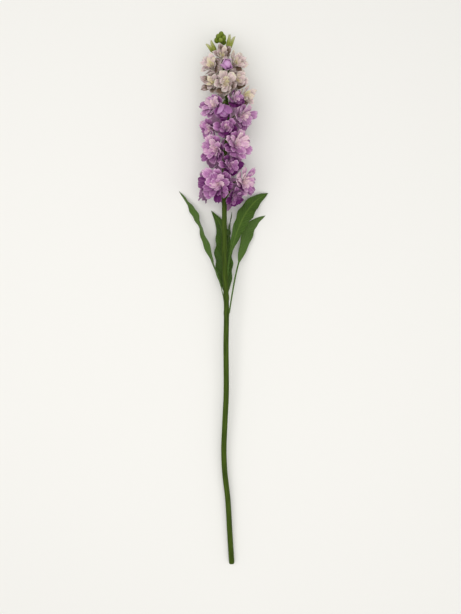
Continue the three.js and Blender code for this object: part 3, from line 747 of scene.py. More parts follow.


# Low blooms are mauve, deep purple where their colour is deeper and in painted shade in their hollows, those
# above them lilac, the top ones cream with olive painted shade in their hollows
DEEP_PETAL = PetalTissue("deep_petal", "#a8985f", "#ecd0d2", "#bd82b2", "#dcb4d0", "#580a55", "#7d3a7c")
LILAC_PETAL = PetalTissue("lilac_petal", "#a39760", "#ead0cd", "#c492ba", "#debed4", "#63145d", "#874a82")
PALE_PETAL = PetalTissue(
    "pale_petal", "#757a2c", "#dfd5a4", "#dec9c6", "#efe4dc", "#5f4c38", "#9a7d78", heart_share=0.3
)
# The rolled petals of half-open blooms show their even backs
FURLED_PETAL = PetalTissue("furled_petal", "#b083ab", "#d2a9cb", "#c795c2", "#cda3c9", "#84277f", "#a2609f")
# The stem is tan where it is cut, sepals purplish at their rims, buds whitish where petals show
STEM_SKIN = GreenSkin("stem_skin", "#293a08", "#4a5e18", "#80804a", 0.5, 1.2, 30.0, 0.2)
SEPAL_SKIN = GreenSkin("sepal_skin", "#35421a", "#566428", "#6e5058", 0.55, 0.8, 6.0, 0.12)
BUD_SKIN = GreenSkin("bud_skin", "#6a7426", "#a0a652", "#dcd9ae", 0.5, 0.7, 6.0, 0.12)
TIP_SKIN = GreenSkin("tip_skin", "#44540c", "#7a8c2e", "#aab660", 0.5, 0.7, 5.0, 0.12)


@dataclass(frozen=True)
class Form:
    """How one petal differs from the plain one of its ring: factors, degrees and shares of its sizes."""

    phi: Array | float
    length: float = 1.0
    width: float = 1.0
    open: float = 0.0
    cup: float = 0.0
    tilt: float = 0.0
    sway: float = 0.0
    phase: float = 0.0

    @classmethod
    def drawn(cls, draws: Draws, phi: float, step: float, broad: float) -> "Form":
        """Draws a petal's differences.

        Args:
            draws: The bloom's draws.
            phi: The petal's even place round the bloom.
            step: Angle between petals of its ring.
            broad: How much broader it is than its solid.

        Returns:
            The form.
        """
        drawn = {name: draws.between(low, high) * more for name, (low, high, more) in SPREADS.items()}
        turn, length, width = (drawn.pop(name) for name in ("turn", "length", "width"))
        phase = draws.between(0, 2 * math.pi)
        return cls(phi + step * turn, 1 + length, (1 + width) * broad, phase=phase, **drawn)


@dataclass(frozen=True)
class PetalRing:
    """One ring of petals: shares of the bloom's reach, and degrees from its axis at foot and tip."""

    count: int
    length: float
    width: float
    open_foot: float
    open_tip: float
    cup: float
    foot: float  # height above the throat and distance from the axis, in millimetres
    root: float
    frill: float  # height of the fine ruffle at the edge, a share of the petal's length
    notch: float  # depth of the notch in the petal's end, or below nought its point
    broad: float = 1.15  # how much broader a fine petal is than its solid

    def points(
        self, seat: Seat, reach: float, form: Form, squeeze: Array | float, s: Array, v: Array
    ) -> Array:
        """Finds points of a petal's middle surface.

        Args:
            seat: The bloom's seat.
            reach: Length of the bloom's outer petals.
            form: The petal's differences; its phi may be an array.
            squeeze: How much the petal gives way, from 0 to 1.
            s: Places along the petal, from 0 to 1.
            v: Places across it, from -1 to 1.

        Returns:
            The points, over all the arrays together.
        """
        lift = 1 - SQUEEZE_LIFT * squeeze
        length = self.length * reach * form.length * (1 - SQUEEZE_SHRINK * squeeze)
        half = self.width * reach * form.width / 2 * (1 - SQUEEZE_NARROW * squeeze)
        start = np.radians(self.open_foot * lift)
        turn = np.radians((self.open_tip + form.open) * lift) - start
        drawn = 1 - PETAL_DRAW * (1 - np.sqrt(1 - PETAL_FULLNESS * v * v))
        t = s * drawn * (1 - self.notch * np.exp(-((v / NOTCH_HALF) ** 2)) * s**2)
        angle = start + turn * t
        rho = self.root + length * (np.cos(start) - np.cos(angle)) / turn
        rise = self.foot + length * (np.sin(angle) - np.sin(start)) / turn
        wide = PETAL_CLAW + (half - PETAL_CLAW) * ease(0, PETAL_BROADEST, t)
        wave = RUFFLE * length * t * np.sin(form.phase + RUFFLE_ALONG * t + RUFFLE_ACROSS * v) * v * v
        edge = ease(FRILL_FROM, 1, t) * (FRILL_MIDDLE + (1 - FRILL_MIDDLE) * np.abs(v))
        for height, turns, crosswise, lengthwise in FRILL_WAVES:
            fine = height * np.sin(turns * form.phase + crosswise * v + lengthwise * t)
            wave = wave + self.frill * length * edge * fine
        wave = wave + CURL * np.sin(CURL_DRAW * form.phase) * length * ease(CURL_FROM, 1, t) * t
        tilt = np.radians(SHINGLE_FOOT + (SHINGLE_TIP - SHINGLE_FOOT) * t + form.tilt)
        raised = (form.cup + self.cup) * wide * v * v + wave + v * wide * np.sin(tilt)
        across = v * wide * np.cos(tilt) + form.sway * length * t * t
        phi = np.asarray(form.phi)
        return (
            seat.throat
            + (rho - raised * np.cos(angle))[..., None] * seat.out_at(phi)
            + (rise + raised * np.sin(angle))[..., None] * seat.face
            + across[..., None] * seat.out_at(phi + np.pi / 2)
        )


# From the outermost ring in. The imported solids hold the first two; small petals inside them fill the heart.
# Count, length, width, opening at foot and tip, cup, foot, root, frill, notch, breadth
RINGS: dict[Kind, tuple[PetalRing, ...]] = {
    Kind.FULL: (
        PetalRing(8, 1, 0.46, 36, 104, 0.08, 1.05, 2.9, 0.05, 0.08),
        PetalRing(8, 0.78, 0.34, 20, 78, 0.18, 2.6, 2.7, 0.055, 0.07),
        PetalRing(6, 0.54, 0.24, 12, 58, 0.25, 2.9, 2.0, 0.045, 0.06),
        PetalRing(5, 0.34, 0.15, 4, 34, 0.34, 3.2, 1.3, 0.04, 0.08),
    ),
    Kind.OPEN: (
        PetalRing(6, 1, 0.56, 34, 98, 0.08, 1.05, 2.9, 0.05, 0.08),
        PetalRing(6, 0.78, 0.4, 18, 70, 0.18, 2.9, 2.4, 0.055, 0.07),
        PetalRing(6, 0.54, 0.26, 10, 50, 0.25, 3.0, 1.8, 0.045, 0.06),
        PetalRing(4, 0.34, 0.16, 4, 26, 0.34, 3.2, 1.1, 0.04, 0.08),
    ),
    Kind.WIDE: (
        PetalRing(6, 1, 0.56, 44, 134, 0.08, 1.05, 2.9, 0.03, 0.05, 1.45),
        PetalRing(6, 0.8, 0.42, 20, 74, 0.18, 2.9, 2.4, 0.034, 0.04, 1.4),
        PetalRing(6, 0.56, 0.28, 12, 54, 0.25, 3.0, 1.8, 0.045, 0.06),
        PetalRing(4, 0.36, 0.17, 4, 28, 0.34, 3.2, 1.1, 0.04, 0.08),
    ),
    Kind.STARRY: (
        PetalRing(6, 1, 0.46, 34, 96, 0.12, 1.05, 2.9, 0.03, -0.1, 1.25),
        PetalRing(6, 0.82, 0.34, 18, 70, 0.18, 2.9, 2.4, 0.034, -0.09, 1.25),
        PetalRing(5, 0.6, 0.22, 8, 44, 0.25, 3.0, 1.8, 0.04, -0.05),
        PetalRing(3, 0.4, 0.14, 2, 20, 0.3, 3.2, 1.1, 0.04, -0.05),
    ),
    Kind.CUPPED: (PetalRing(5, 1, 0.5, 56, -30, 0.12, 1.05, 2.9, 0.006, 0.0, 1.6),),
}


def press(grid: Array, walls: tuple[Array, Array], room: float) -> Array:
    """Bends a blade's points along the walls that they would cross.

    Args:
        grid: Points of the blade.
        walls: Normals and limits.
        room: Distance kept from each wall.

    Returns:
        The points, all inside.
    """
    pressed = grid.copy()
    for normal, limit in zip(*walls):
        over = pressed @ normal - (limit - room - PRESS_SOFT)
        kept = PRESS_SOFT * (1 - np.exp(-np.maximum(over, 0) / PRESS_SOFT))
        pressed -= np.where(over > 0, over - kept, 0)[..., None] * normal
    return pressed


@dataclass(frozen=True)
class Bloom:
    """A double bloom: rings of ruffled petals on a small core, open, half open or cupped."""

    number: int
    at: float
    turn: float
    out: float
    lean: float
    swing: float
    reach: float
    seed: int
    kind: Kind
    tint: Tint
    depth: float  # how deep its colour is, plain at 0
    rows: int = 16
    columns: int = 15
    edge_half: float = 0.07
    middle_half: float = 0.2
    # Tone of the painted shade in the hollows at the outer petals' hidden feet, of the painted shade on
    # petals low on the bloom, of odd ones, and of each ring inwards
    hollow_shade_tone: float = 0.4
    low_side_shade_tone: float = 0.3
    odd_tone: float = 0.38
    inner_tone: float = -0.26
    # Heights and radii of the core
    core: tuple[tuple[float, float], ...] = (
        (-4.3, 0.4), (-2, 1.8), (0.6, 2.9), (2.0, 2.7), (3.1, 2.2), (4.2, 1.2), (4.6, 0.3),
    )
    core_sides: int = 16
    # The ball of rolled petals in a cupped bloom, in shares of its reach, and the steps where they overlap
    ball_middle: float = 0.56
    ball_height: float = 0.4
    ball_radius: float = 0.4
    ball_ends: tuple[float, float] = (0.25, math.pi - 0.04)  # angles from its foot, in radians
    ball_highlight: tuple[float, float] = (1.6, 3.0)  # where a painted highlight makes it paler
    ball_highlight_tone: float = -0.35
    furled_rows: int = 28
    furled_sides: int = 60
    furled_seams: int = 3
    furled_twist: float = 1.1
    furled_step: float = 0.09
    # painted shade just before each seam, where one rolled petal tucks under the next
    furled_seam_shade: float = 0.5

    @property
    def seat(self) -> Seat:
        """The bloom's seat on the stem."""
        return Seat.on_stem(self.at, self.turn, self.out, self.lean, self.swing)

    @property
    def middle(self) -> Array:
        """The middle of the bloom."""
        return self.seat.up(self.reach * (CUP_MIDDLE if self.kind is Kind.CUPPED else BLOOM_MIDDLE))

    @property
    def bulk(self) -> float:
        """Room that the bloom takes from its neighbours."""
        return self.reach * (CUP_BULK if self.kind is Kind.CUPPED else 1)

    def walls(self, others: Sequence["Bloom"]) -> tuple[Array, Array]:
        """Finds the walls that part the bloom from its neighbours, the floor and the stem.

        Args:
            others: All the blooms.

        Returns:
            Normals and limits: a point p inside has normal.p below the limit.
        """
        normals = [-UP]
        limits = [0.0]
        for other in others:
            if other.number == self.number:
                continue
            between = other.middle - self.middle
            apart = np.linalg.norm(between)
            normals.append(between / apart)
            limits.append(between @ self.middle / apart + apart * self.bulk / (self.bulk + other.bulk))
        outward = self.seat.outward
        normals.append(-outward)
        limits.append(-outward @ stem_centre(self.at) - stem_radius(self.at) - STEM_CLEAR)
        return np.array(normals), np.array(limits)

    def squeeze(self, phi: float, walls: tuple[Array, Array]) -> float:
        """Finds how much a petal gives way so that the petals beside it can too.

        Args:
            phi: The petal's place round the bloom.
            walls: The bloom's walls.

        Returns:
            The squeeze, from 0 to 1.
        """
        s, v = np.array([(share, place) for share, places in SOLID_ROWS for place in places]).T
        turns = np.arange(SQUEEZE_LOOK - 180, 181, SQUEEZE_LOOK)
        tries = np.arange(0, 1, SQUEEZE_STEP)
        form = Form((phi + np.radians(turns))[None, :, None])
        ring = RINGS[self.kind][0]
        points = ring.points(self.seat, self.reach, form, tries[:, None, None], s, v)
        normals, limits = walls
        worst = (points @ normals.T - limits).max(axis=(2, 3))
        fits = worst < -(SOLID_BLADE + SEAT_GAP) / 2
        least = np.where(fits.any(axis=0), tries[fits.argmax(axis=0)], 1.0)
        return max(0.0, float((least - SQUEEZE_SLOPE * np.abs(turns)).max()))

    def petals(self, skin: Skin, others: Sequence["Bloom"]) -> None:
        """Adds the petals, ring by ring from the outside in.

        Args:
            skin: What they are added to.
            others: All the blooms.
        """
        draws = Draws(self.seed)
        seat = self.seat
        walls = self.walls(others)
        start = draws.between(0, 2 * math.pi)
        s = np.linspace(0, 1, self.rows)
        v = np.linspace(-1, 1, self.columns)
        edge = np.maximum(np.abs(v)[None], s[:, None]) ** 4
        half = self.middle_half + (self.edge_half - self.middle_half) * edge
        for level, ring in enumerate(RINGS[self.kind]):
            step = 2 * math.pi / ring.count
            for k in range(ring.count):
                form = Form.drawn(draws, start + step * (k + level / 2), step, ring.broad)
                squeeze = FINE_SQUEEZE * self.squeeze(form.phi, walls)
                grid = ring.points(seat, self.reach, form, squeeze, s[:, None], v[None])
                # painted shade: the feet of the two outer rings deepen towards the throat, in the hollows
                # under inner petals
                tone = self.tone(seat, form, level) + self.hollow_shade_tone * max(0, 2 - level) * (1 - s[:, None])
                skin.add_blade(press(grid, walls, PETAL_ROOM), half, s, v, tone)

    def tone(self, seat: Seat, form: Form, level: int) -> float:
        """Finds how deep a petal's colour is, with painted shade on petals that point towards the cut end.

        Args:
            seat: The bloom's seat.
            form: The petal's differences.
            level: Number of its ring, 0 outermost.

        Returns:
            The petal's tone.
        """
        # painted shade: petals that point towards the cut end, turned from the light, are deeper
        lowness = -float(seat.out_at(np.asarray(form.phi)) @ stem_way(self.at))
        odd = math.sin(TONE_DRAW * form.phase)
        return self.depth + self.low_side_shade_tone * lowness + self.odd_tone * odd + self.inner_tone * level

    def furled(self, skin: Skin) -> None:
        """Adds the ball of petals that are still rolled over each other in a cupped bloom.

        Args:
            skin: What it is added to.
        """
        polar = np.linspace(*self.ball_ends, self.furled_rows)[:, None]
        heights = self.reach * (self.ball_middle - self.ball_height * np.cos(polar))
        angle = np.arange(self.furled_sides) / self.furled_sides
        turned = np.mod(self.furled_seams * angle + self.furled_twist * polar / math.pi, 1)
        radii = self.reach * self.ball_radius * np.sin(polar) * (1 - self.furled_step * turned**3)
        rings = self.seat.rings(list(zip(heights, radii)), self.furled_sides)
        # painted highlight on the ball's top, painted shade at its seams
        top = self.ball_highlight_tone * ease(*self.ball_highlight, polar)
        skin.add_tube(rings, self.depth + self.furled_seam_shade * turned**6 + top)

    def build(self, others: Sequence["Bloom"], material: bpy.types.Material) -> bpy.types.Object:
        """Makes the bloom.

        Args:
            others: All the blooms, which it makes way for.
            material: Its finish.

        Returns:
            The piece.
        """
        skin = Skin()
        skin.add_tube(self.seat.rings(self.core, self.core_sides))
        self.petals(skin, others)
        if self.kind is Kind.CUPPED:
            self.furled(skin)
        number = f"{self.number:02d}"
        return skin.to_piece(f"petals_{number}", material, f"bloom_{number}")


# Place along and round the stem, throat's distance, lean, swing, reach, seed, kind, colour and its depth
BLOOMS = (
    Bloom(1, 643, -17, 22, -10, 0, 33, 2887, Kind.FULL, Tint.DEEP, 0.42),
    Bloom(2, 647, 66, 28, -8, -22, 28, 9770, Kind.FULL, Tint.DEEP, -0.12),
    Bloom(3, 641, 256, 22, -6, 22, 28, 3000, Kind.OPEN, Tint.DEEP, 0.6),
    Bloom(4, 634, 152, 16, -4, -10, 26, 5739, Kind.WIDE, Tint.DEEP, 0.7),
    Bloom(5, 696, -34, 20, -18, 6, 27, 6665, Kind.FULL, Tint.DEEP, 0.25),
    Bloom(6, 703, 27, 28, 0, 4, 29, 9256, Kind.FULL, Tint.DEEP, 0.05),
    Bloom(7, 690, 184, 15, 2, 0, 31, 7000, Kind.WIDE, Tint.DEEP, 0.6),
    Bloom(8, 672, 20, 21, -6, 0, 23, 8000, Kind.OPEN, Tint.DEEP, 0.7),
    Bloom(9, 763, -50, 22, 6, 14, 25, 13477, Kind.FULL, Tint.LILAC, 0.25),
    Bloom(10, 760, -9, 34, -58, 0, 22, 12109, Kind.CUPPED, Tint.LILAC, 0.7),
    Bloom(11, 770, 26, 20, 0, 4, 23, 13072, Kind.OPEN, Tint.LILAC, 0.5),
    Bloom(12, 749, 50, 23, -10, -8, 25, 12703, Kind.FULL, Tint.LILAC, 0.1),
    Bloom(13, 730, -78, 22, -26, 28, 23, 13259, Kind.OPEN, Tint.DEEP, 0.45),
    Bloom(14, 750, 178, 14, 0, 0, 31, 14037, Kind.WIDE, Tint.LILAC, 0.45),
    Bloom(15, 799, -50, 20, -2, 28, 25, 16332, Kind.STARRY, Tint.PALE, 0.25),
    Bloom(16, 793, 0, 24, -10, 0, 24, 16037, Kind.OPEN, Tint.PALE, 0.3),
    Bloom(17, 800, 52, 20, -2, -26, 23, 17000, Kind.OPEN, Tint.PALE, 0.3),
    Bloom(18, 777, 76, 25, -8, -42, 22, 18037, Kind.STARRY, Tint.PALE, 0.1),
    Bloom(19, 814, 182, 14, 2, 0, 31, 19000, Kind.WIDE, Tint.PALE, 0.35),
    Bloom(20, 824, -52, 19, 8, 26, 26, 20111, Kind.STARRY, Tint.PALE, 0.3),
    Bloom(21, 821, 7, 31, -14, 0, 16, 21037, Kind.CUPPED, Tint.LILAC, -0.1),
    Bloom(22, 825, 53, 19, 8, -26, 24, 22555, Kind.STARRY, Tint.PALE, 0.15),
    Bloom(23, 729, 0, 20, -10, 0, 23, 23000, Kind.OPEN, Tint.DEEP, 0.6),
    Bloom(24, 837, -1, 14, 6, 0, 21, 24148, Kind.STARRY, Tint.PALE, 0.5),
    Bloom(25, 626, 33, 26, -28, 0, 18, 25000, Kind.OPEN, Tint.DEEP, 0.95),
)


@dataclass(frozen=True)
class Stalk:
    """The thin stalk of a bloom or bud, flared where it leaves the stem."""

    at: float
    out: float
    seat: Seat
    foot: Array
    # How far below its bloom it leaves the stem, and how far below its foot it bends, shares of out
    drop: float = 0.62
    knee: float = 0.35
    radius: float = 0.95
    flare: float = 0.7
    flare_length: float = 2.0
    steps: int = 22

    def line(self) -> Array:
        """Finds the stalk's centre line.

        Returns:
            Points from the stem's centre to the stalk's foot in the calyx or bud.
        """
        root = stem_centre(self.at - self.drop * self.out)
        knee = self.foot - self.seat.face * self.knee * self.out
        t = np.linspace(0, 1, self.steps)[:, None]
        return root * (1 - t) ** 2 + 2 * knee * t * (1 - t) + self.foot * t**2

    def rings(self, sides: int) -> Array:
        """Lays the stalk's rings.

        Args:
            sides: Points in a ring.

        Returns:
            The rings without the last, which the calyx or bud makes.
        """
        line = self.line()
        clear = np.linalg.norm(line - line[0], axis=1) - stem_radius(self.at)
        radii = self.radius + self.flare * np.exp(-np.maximum(clear, 0) / self.flare_length)
        return rings_along(line, self.seat.side, radii, sides)[:-1]


@dataclass(frozen=True)
class Calyx:
    """A cup of four pointed sepals on its stalk, which holds one bloom."""

    bloom: Bloom
    length: float = 9.0
    neck: float = 1.0
    belly: float = 2.7
    rim: float = 3.3
    notch: float = 2.8  # radius at the notches between the sepals
    notch_drop: float = 3.0
    notch_sag: float = 0.6  # how far the cup below follows the notches
    # Shares of its length from its foot, and how far it has swollen there from neck to belly
    swells: tuple[tuple[float, float], ...] = (
        (0.0, 0.0), (0.1, 0.35), (0.28, 0.8), (0.45, 1.0), (0.62, 1.02), (0.8, 1.06),
    )
    keel: float = 0.12  # how far the sepals' middles stand out
    lip: float = 0.1
    wall: float = 0.35  # thickness at the rim
    well_share: float = 0.6  # a ring inside, on the way down to where the bloom sits
    well_width: float = 0.8
    well_end: float = 0.3
    seat_depth: float = 5.0
    rim_tone: float = 0.35
    lobe_power: float = 1.4
    sides: int = 32

    def build(self, material: bpy.types.Material) -> bpy.types.Object:
        """Makes the calyx with its stalk.

        Args:
            material: Its finish.

        Returns:
            The piece.
        """
        seat = self.bloom.seat
        stalk = Stalk(self.bloom.at, self.bloom.out, seat, seat.up(-self.length)).rings(self.sides)
        lobes = np.abs(np.cos(2 * circle(self.sides))) ** self.lobe_power
        rim = self.notch + (self.rim - self.notch) * lobes
        drop = self.notch_drop * (1 - lobes)
        rows = []
        for share, swell in self.swells:
            height = -self.length * (1 - share) - drop * share**3 * self.notch_sag
            keel = self.keel * (lobes - 0.5) * share
            rows.append((height, self.neck + (self.belly - self.neck) * swell + keel))
        rows.append((-drop, rim))
        rows.append((-drop - self.lip, rim - self.wall))
        down = -drop * (1 - self.well_share) - self.seat_depth * self.well_share
        rows.append((down, rim * self.well_width))
        rows.append((-self.seat_depth, self.well_end))
        rings = np.concatenate([stalk, seat.rings(rows, self.sides)])
        tone = np.zeros(rings.shape[:2])
        tone[-4:-2] = self.rim_tone * lobes
        skin = Skin()
        skin.add_tube(rings, tone)
        number = f"{self.bloom.number:02d}"
        return skin.to_piece(f"sepals_{number}", material, f"calyx_{number}")


@dataclass(frozen=True)
class SideBud:
    """A plump green bud on its stalk, whose four sepals part over the furled petals."""

    name: str
    at: float
    turn: float
    out: float
    lean: float
    length: float
    width: float
    # Heights and radii at the seams and on the sepals, shares of length and half width, up and down inside
    rows: tuple[tuple[float, ...], ...] = (
        (0.0, 0.2, 0.0, 0.22), (0.06, 0.32, 0.06, 0.36), (0.16, 0.54, 0.16, 0.6), (0.3, 0.7, 0.3, 0.82),
        (0.42, 0.58, 0.42, 0.9), (0.5, 0.48, 0.5, 0.92), (0.5, 0.38, 0.75, 0.94), (0.5, 0.3, 1.0, 1.0),
        (0.49, 0.24, 0.95, 0.9), (0.46, 0.2, 0.62, 0.62), (0.42, 0.06, 0.42, 0.06),
    )
    lobe_power: float = 1.2
    edge_tone: float = 0.25
    inner_tone: float = 0.7
    sides: int = 40
    # Heights and radii of the furled petals, and their folds
    petals: tuple[tuple[float, float], ...] = (
        (0.3, 0.2), (0.4, 0.34), (0.52, 0.36), (0.64, 0.26), (0.72, 0.13), (0.74, 0.02),
    )
    folds: int = 3
    fold_depth: float = 0.16
    fold_twist: float = 0.9  # from row to row, in radians
    petal_tone: float = 0.9
    petal_sides: int = 24

    def build(self, material: bpy.types.Material) -> bpy.types.Object:
        """Makes the bud with its stalk.

        Args:
            material: Its finish.

        Returns:
            The piece.
        """
        seat = Seat.on_stem(self.at, self.turn, self.out, self.lean)
        stalk = Stalk(self.at, self.out, seat, seat.throat).rings(self.sides)
        half = self.width / 2
        lobes = np.abs(np.cos(2 * circle(self.sides))) ** self.lobe_power
        rows = []
        for low, narrow, high, broad in self.rows:
            heights = self.length * (low + (high - low) * lobes)
            rows.append((heights, half * (narrow + (broad - narrow) * lobes)))
        rings = np.concatenate([stalk, seat.rings(rows, self.sides)])
        tone = np.zeros(rings.shape[:2])
        tone[-4:] = self.inner_tone
        tone[-5] = self.edge_tone * lobes
        skin = Skin()
        skin.add_tube(rings, tone)
        rows = []
        for k, (height, radius) in enumerate(self.petals):
            folded = np.sin(self.folds * circle(self.petal_sides) + self.fold_twist * k)
            rows.append((self.length * height, half * radius * (1 + self.fold_depth * folded)))
        skin.add_tube(seat.rings(rows, self.petal_sides), self.petal_tone)
        return skin.to_piece(f"{self.name}_sepals", material, self.name)


# Place along and round the stem, foot's distance, lean, length and width
BUDS = (
    SideBud("bud_left", 848, -56, 12, 54, 20, 14),
    SideBud("bud_right", 850, 60, 10, 62, 24, 13),
    SideBud("bud_under", 851, 178, 10, 56, 15, 8),
)


@dataclass(frozen=True)
class TipCluster:
    """Small round buds crowded in a spiral on the end of the stem, the lowest ones on the outside."""

    height: float = 11.0
    foot: float = 1.7
    head: float = 3.1
    core_rings: int = 5
    core_sides: int = 24
    count: int = 9
    turn: float = 137.5
    # From the lowest bud to the highest: share of the height, distance from the axis, radius, and rise of the
    # way it points, for each part outwards
    heights: tuple[float, float] = (0.02, 0.98)
    distances: tuple[float, float] = (7.2, 3.4)
    radii: tuple[float, float] = (4.1, 4.3)
    rises: tuple[float, float] = (0.4, 2.4)
    sepal_turn: float = 0.9  # from bud to bud, in radians
    # Places on a bud are angles from its foot, in radians
    rows: int = 14
    sides: int = 32
    ends: tuple[float, float] = (0.12, math.pi - 0.05)
    point_from: float = 1.8
    point: float = 0.12  # how far its end is drawn out
    seams: tuple[float, float] = (0.8, 2.6)  # where they begin and where they are deepest
    seam_depth: float = 0.12
    top: tuple[float, float] = (1.6, 3.0)  # where it turns paler
    top_tone: float = 0.45

    def bead_bud(self, skin: Skin, centre: Array, way: Array, radius: float, turned: float) -> None:
        """Adds one round bud with four sepals that close over it.

        Args:
            skin: What the bud is added to.
            centre: Its middle.
            way: The way it points.
            radius: Its radius.
            turned: Turn of its sepals about its axis.
        """
        polar = np.linspace(*self.ends, self.rows)[:, None]
        heights = -np.cos(polar) * radius * (1 + self.point * ease(self.point_from, math.pi, polar))
        seam = np.sqrt(np.abs(np.sin(2 * (circle(self.sides) + turned))))
        depth = self.seam_depth * ease(*self.seams, polar)
        radii = np.sin(polar) * radius * (1 - depth * (1 - seam))
        side = unit(np.cross(way, ASLANT))
        rings = rings_along(centre + heights * way, side, radii, self.sides)
        skin.add_tube(rings, self.top_tone * ease(*self.top, polar))

    def build(self, material: bpy.types.Material) -> bpy.types.Object:
        """Makes the cluster.

        Args:
            material: Its finish.

        Returns:
            The piece.
        """
        way = stem_way(STEM_LENGTH)
        foot = stem_centre(STEM_LENGTH) + way * SEAT_GAP
        shares = np.linspace(0, 1, self.core_rings)
        centres = foot + (shares * self.height)[:, None] * way
        radii = self.foot + (self.head - self.foot) * shares
        skin = Skin()
        skin.add_tube(rings_along(centres, RIGHT, radii, self.core_sides))
        spans = (self.heights, self.distances, self.radii, self.rises)
        for k in range(self.count):
            share = k / (self.count - 1)
            height, distance, radius, rise = (low + (high - low) * share for low, high in spans)
            outward = radial(STEM_LENGTH, self.turn * k)
            centre = foot + way * self.height * height + outward * distance
            self.bead_bud(skin, centre, unit(outward + way * rise), radius, self.sepal_turn * k)
        return skin.to_piece("tip_buds", material, "bud_tip")


@dataclass(frozen=True)
class Leaf:
    """A long leaf with waved edges and a raised midrib, narrowed to a stalk at its foot."""

    name: str
    line: tuple[tuple[float, float, float], ...]
    width: float
    roll: float
    roll_end: float
    stalk: float  # share of its length that is stalk
    wave: float
    waves: float
    rows: int = 120
    columns: int = 25
    fold: float = 0.16
    stalk_width: float = 2.8
    taper: float = 0.75
    skew: float = 0.82  # sets where the blade is broadest, nearer its foot below 1
    paleness: float = 0.0  # how much it shows the grey-green of its back
    fullness: float = 0.86
    sides_phase: float = 1.9  # parts the waves of its two edges
    low: float = 0.5  # height where it lies on the floor
    flat_below: float = 6.0  # height below which it begins to flatten
    near: float = 0.01  # step that finds its direction
    # Fine waves at its edges, and the share by which the edges go in and out, with their turns
    crimp: float = 0.3
    crimp_turns: float = 5.3
    crimp_slant: float = 4.0
    ragged: float = 0.09
    ragged_turns: float = 2.3
    ragged_slant: float = 1.3
    # Halves of its thickness
    blade_half: float = 0.22
    edge_thinning: float = 0.6
    rib_half: float = 0.35
    rib_width: float = 0.1
    rib_taper: float = 0.7
    floor_gap: float = 0.02

    def row(self, t: float, v: Array) -> Array:
        """Finds the points across the leaf at a place along it.

        Args:
            t: The place, from 0 to 1.
            v: Places across it, from -1 to 1.

        Returns:
            The points.
        """
        centre = along(self.line, t)
        way = unit(along(self.line, min(1, t + self.near)) - along(self.line, max(0, t - self.near)))
        flat = unit(np.cross(way, UP))
        top = np.cross(flat, way)
        roll = math.radians(self.roll + (self.roll_end - self.roll) * t)
        across = flat * math.cos(roll) + top * math.sin(roll)
        normal = np.cross(across, way)
        body = min(max((t - self.stalk) / (1 - self.stalk), 0), 1)
        swell = max(0.0, math.sin(math.pi * body**self.skew)) ** self.fullness
        half = max(self.width / 2 * swell, self.stalk_width / 2 * (1 - self.taper * body))
        laid = float(ease(self.low, self.flat_below, np.array(centre[2])))
        edge = swell * np.abs(v) ** 3
        turned = 2 * math.pi * self.waves * t + self.sides_phase * np.sign(v)
        wave = self.wave * v * v * swell * np.sin(turned)
        crimped = np.sin(self.crimp_turns * math.pi * self.waves * t + self.crimp_slant * v)
        crimp = self.crimp * self.wave * edge * crimped
        ragged = self.ragged * edge * np.sin(self.ragged_turns * turned + self.ragged_slant * v)
        lift = (self.fold * half * np.abs(v) + wave + crimp) * laid
        points = centre + (v * half * (1 + ragged))[:, None] * across + lift[:, None] * normal
        points[:, 2] = np.maximum(points[:, 2], self.low)
        return points

    def build(self, material: bpy.types.Material) -> bpy.types.Object:
        """Makes the leaf.

        Args:
            material: Its finish.

        Returns:
            The piece.
        """
        s = np.linspace(0, 1, self.rows)
        v = np.linspace(-1, 1, self.columns)
        grid = np.array([self.row(t, v) for t in s])
        rib = np.exp(-((v / self.rib_width) ** 2)) * (1 - self.rib_taper * s[:, None])
        half = self.blade_half * (1 - self.edge_thinning * np.abs(v) ** 3) + self.rib_half * rib
        half = np.minimum(half, np.maximum(grid[..., 2] - self.floor_gap, self.floor_gap))
        skin = Skin()
        skin.add_blade(grid, half, s, v, self.paleness)
        return skin.to_piece(f"{self.name}_blade", material, self.name)


LEAVES = (
    Leaf(
        "leaf_left",
        (
            (-13.6, 464, 28), (-20, 490, 29), (-31, 521, 26), (-44.5, 560, 20), (-57, 593, 14), (-71, 617, 6),
            (-87.6, 638, 0.6),
        ),
        width=15, roll=64, roll_end=46, stalk=0.12, skew=1.1, wave=2.2, waves=3.4, paleness=0.35,
    ),
    Leaf(
        "leaf_behind",
        (
            (-9, 462, 23.3), (-9.8, 484, 20), (-11.8, 508, 17.5), (-13.5, 532, 15.5), (-14, 556, 12),
            (-19.5, 583, 7.5), (-34, 606, 2.6),
        ),
        width=29, roll=6, roll_end=-6, stalk=0.02, skew=0.9, wave=2.6, waves=2.6,
    ),
    Leaf(
        "leaf_right",
        (
            (-6.9, 498, 31.9), (-4, 527, 33.5), (3, 553, 31.5), (11.5, 577, 26.5), (22, 599, 19),
            (38, 620, 10), (60, 635, 2.2),
        ),
        width=25, roll=-16, roll_end=-4, stalk=0.12, skew=1.5, wave=3.0, waves=2.8,
    ),
    Leaf(
        "leaf_right_low",
        (
            (-4.4, 437, 26.4), (1.5, 474, 26), (6.5, 500, 21.5), (12.5, 524, 16), (20, 549, 10.5),
            (28.5, 573, 3.6), (40, 588, 0.5), (56, 598, 0.5),
        ),
        width=18, roll=-34, roll_end=0, stalk=0.4, wave=2.6, waves=2.8, paleness=0.7,
    ),
    Leaf(
        "leaf_small",
        ((-8.4, 541, 28.2), (-6.8, 559, 24.6), (-3.8, 581, 21.4), (0.2, 603, 19.4)),
        width=13, roll=-80, roll_end=-74, stalk=0.12, wave=1.2, waves=2,
    ),
)


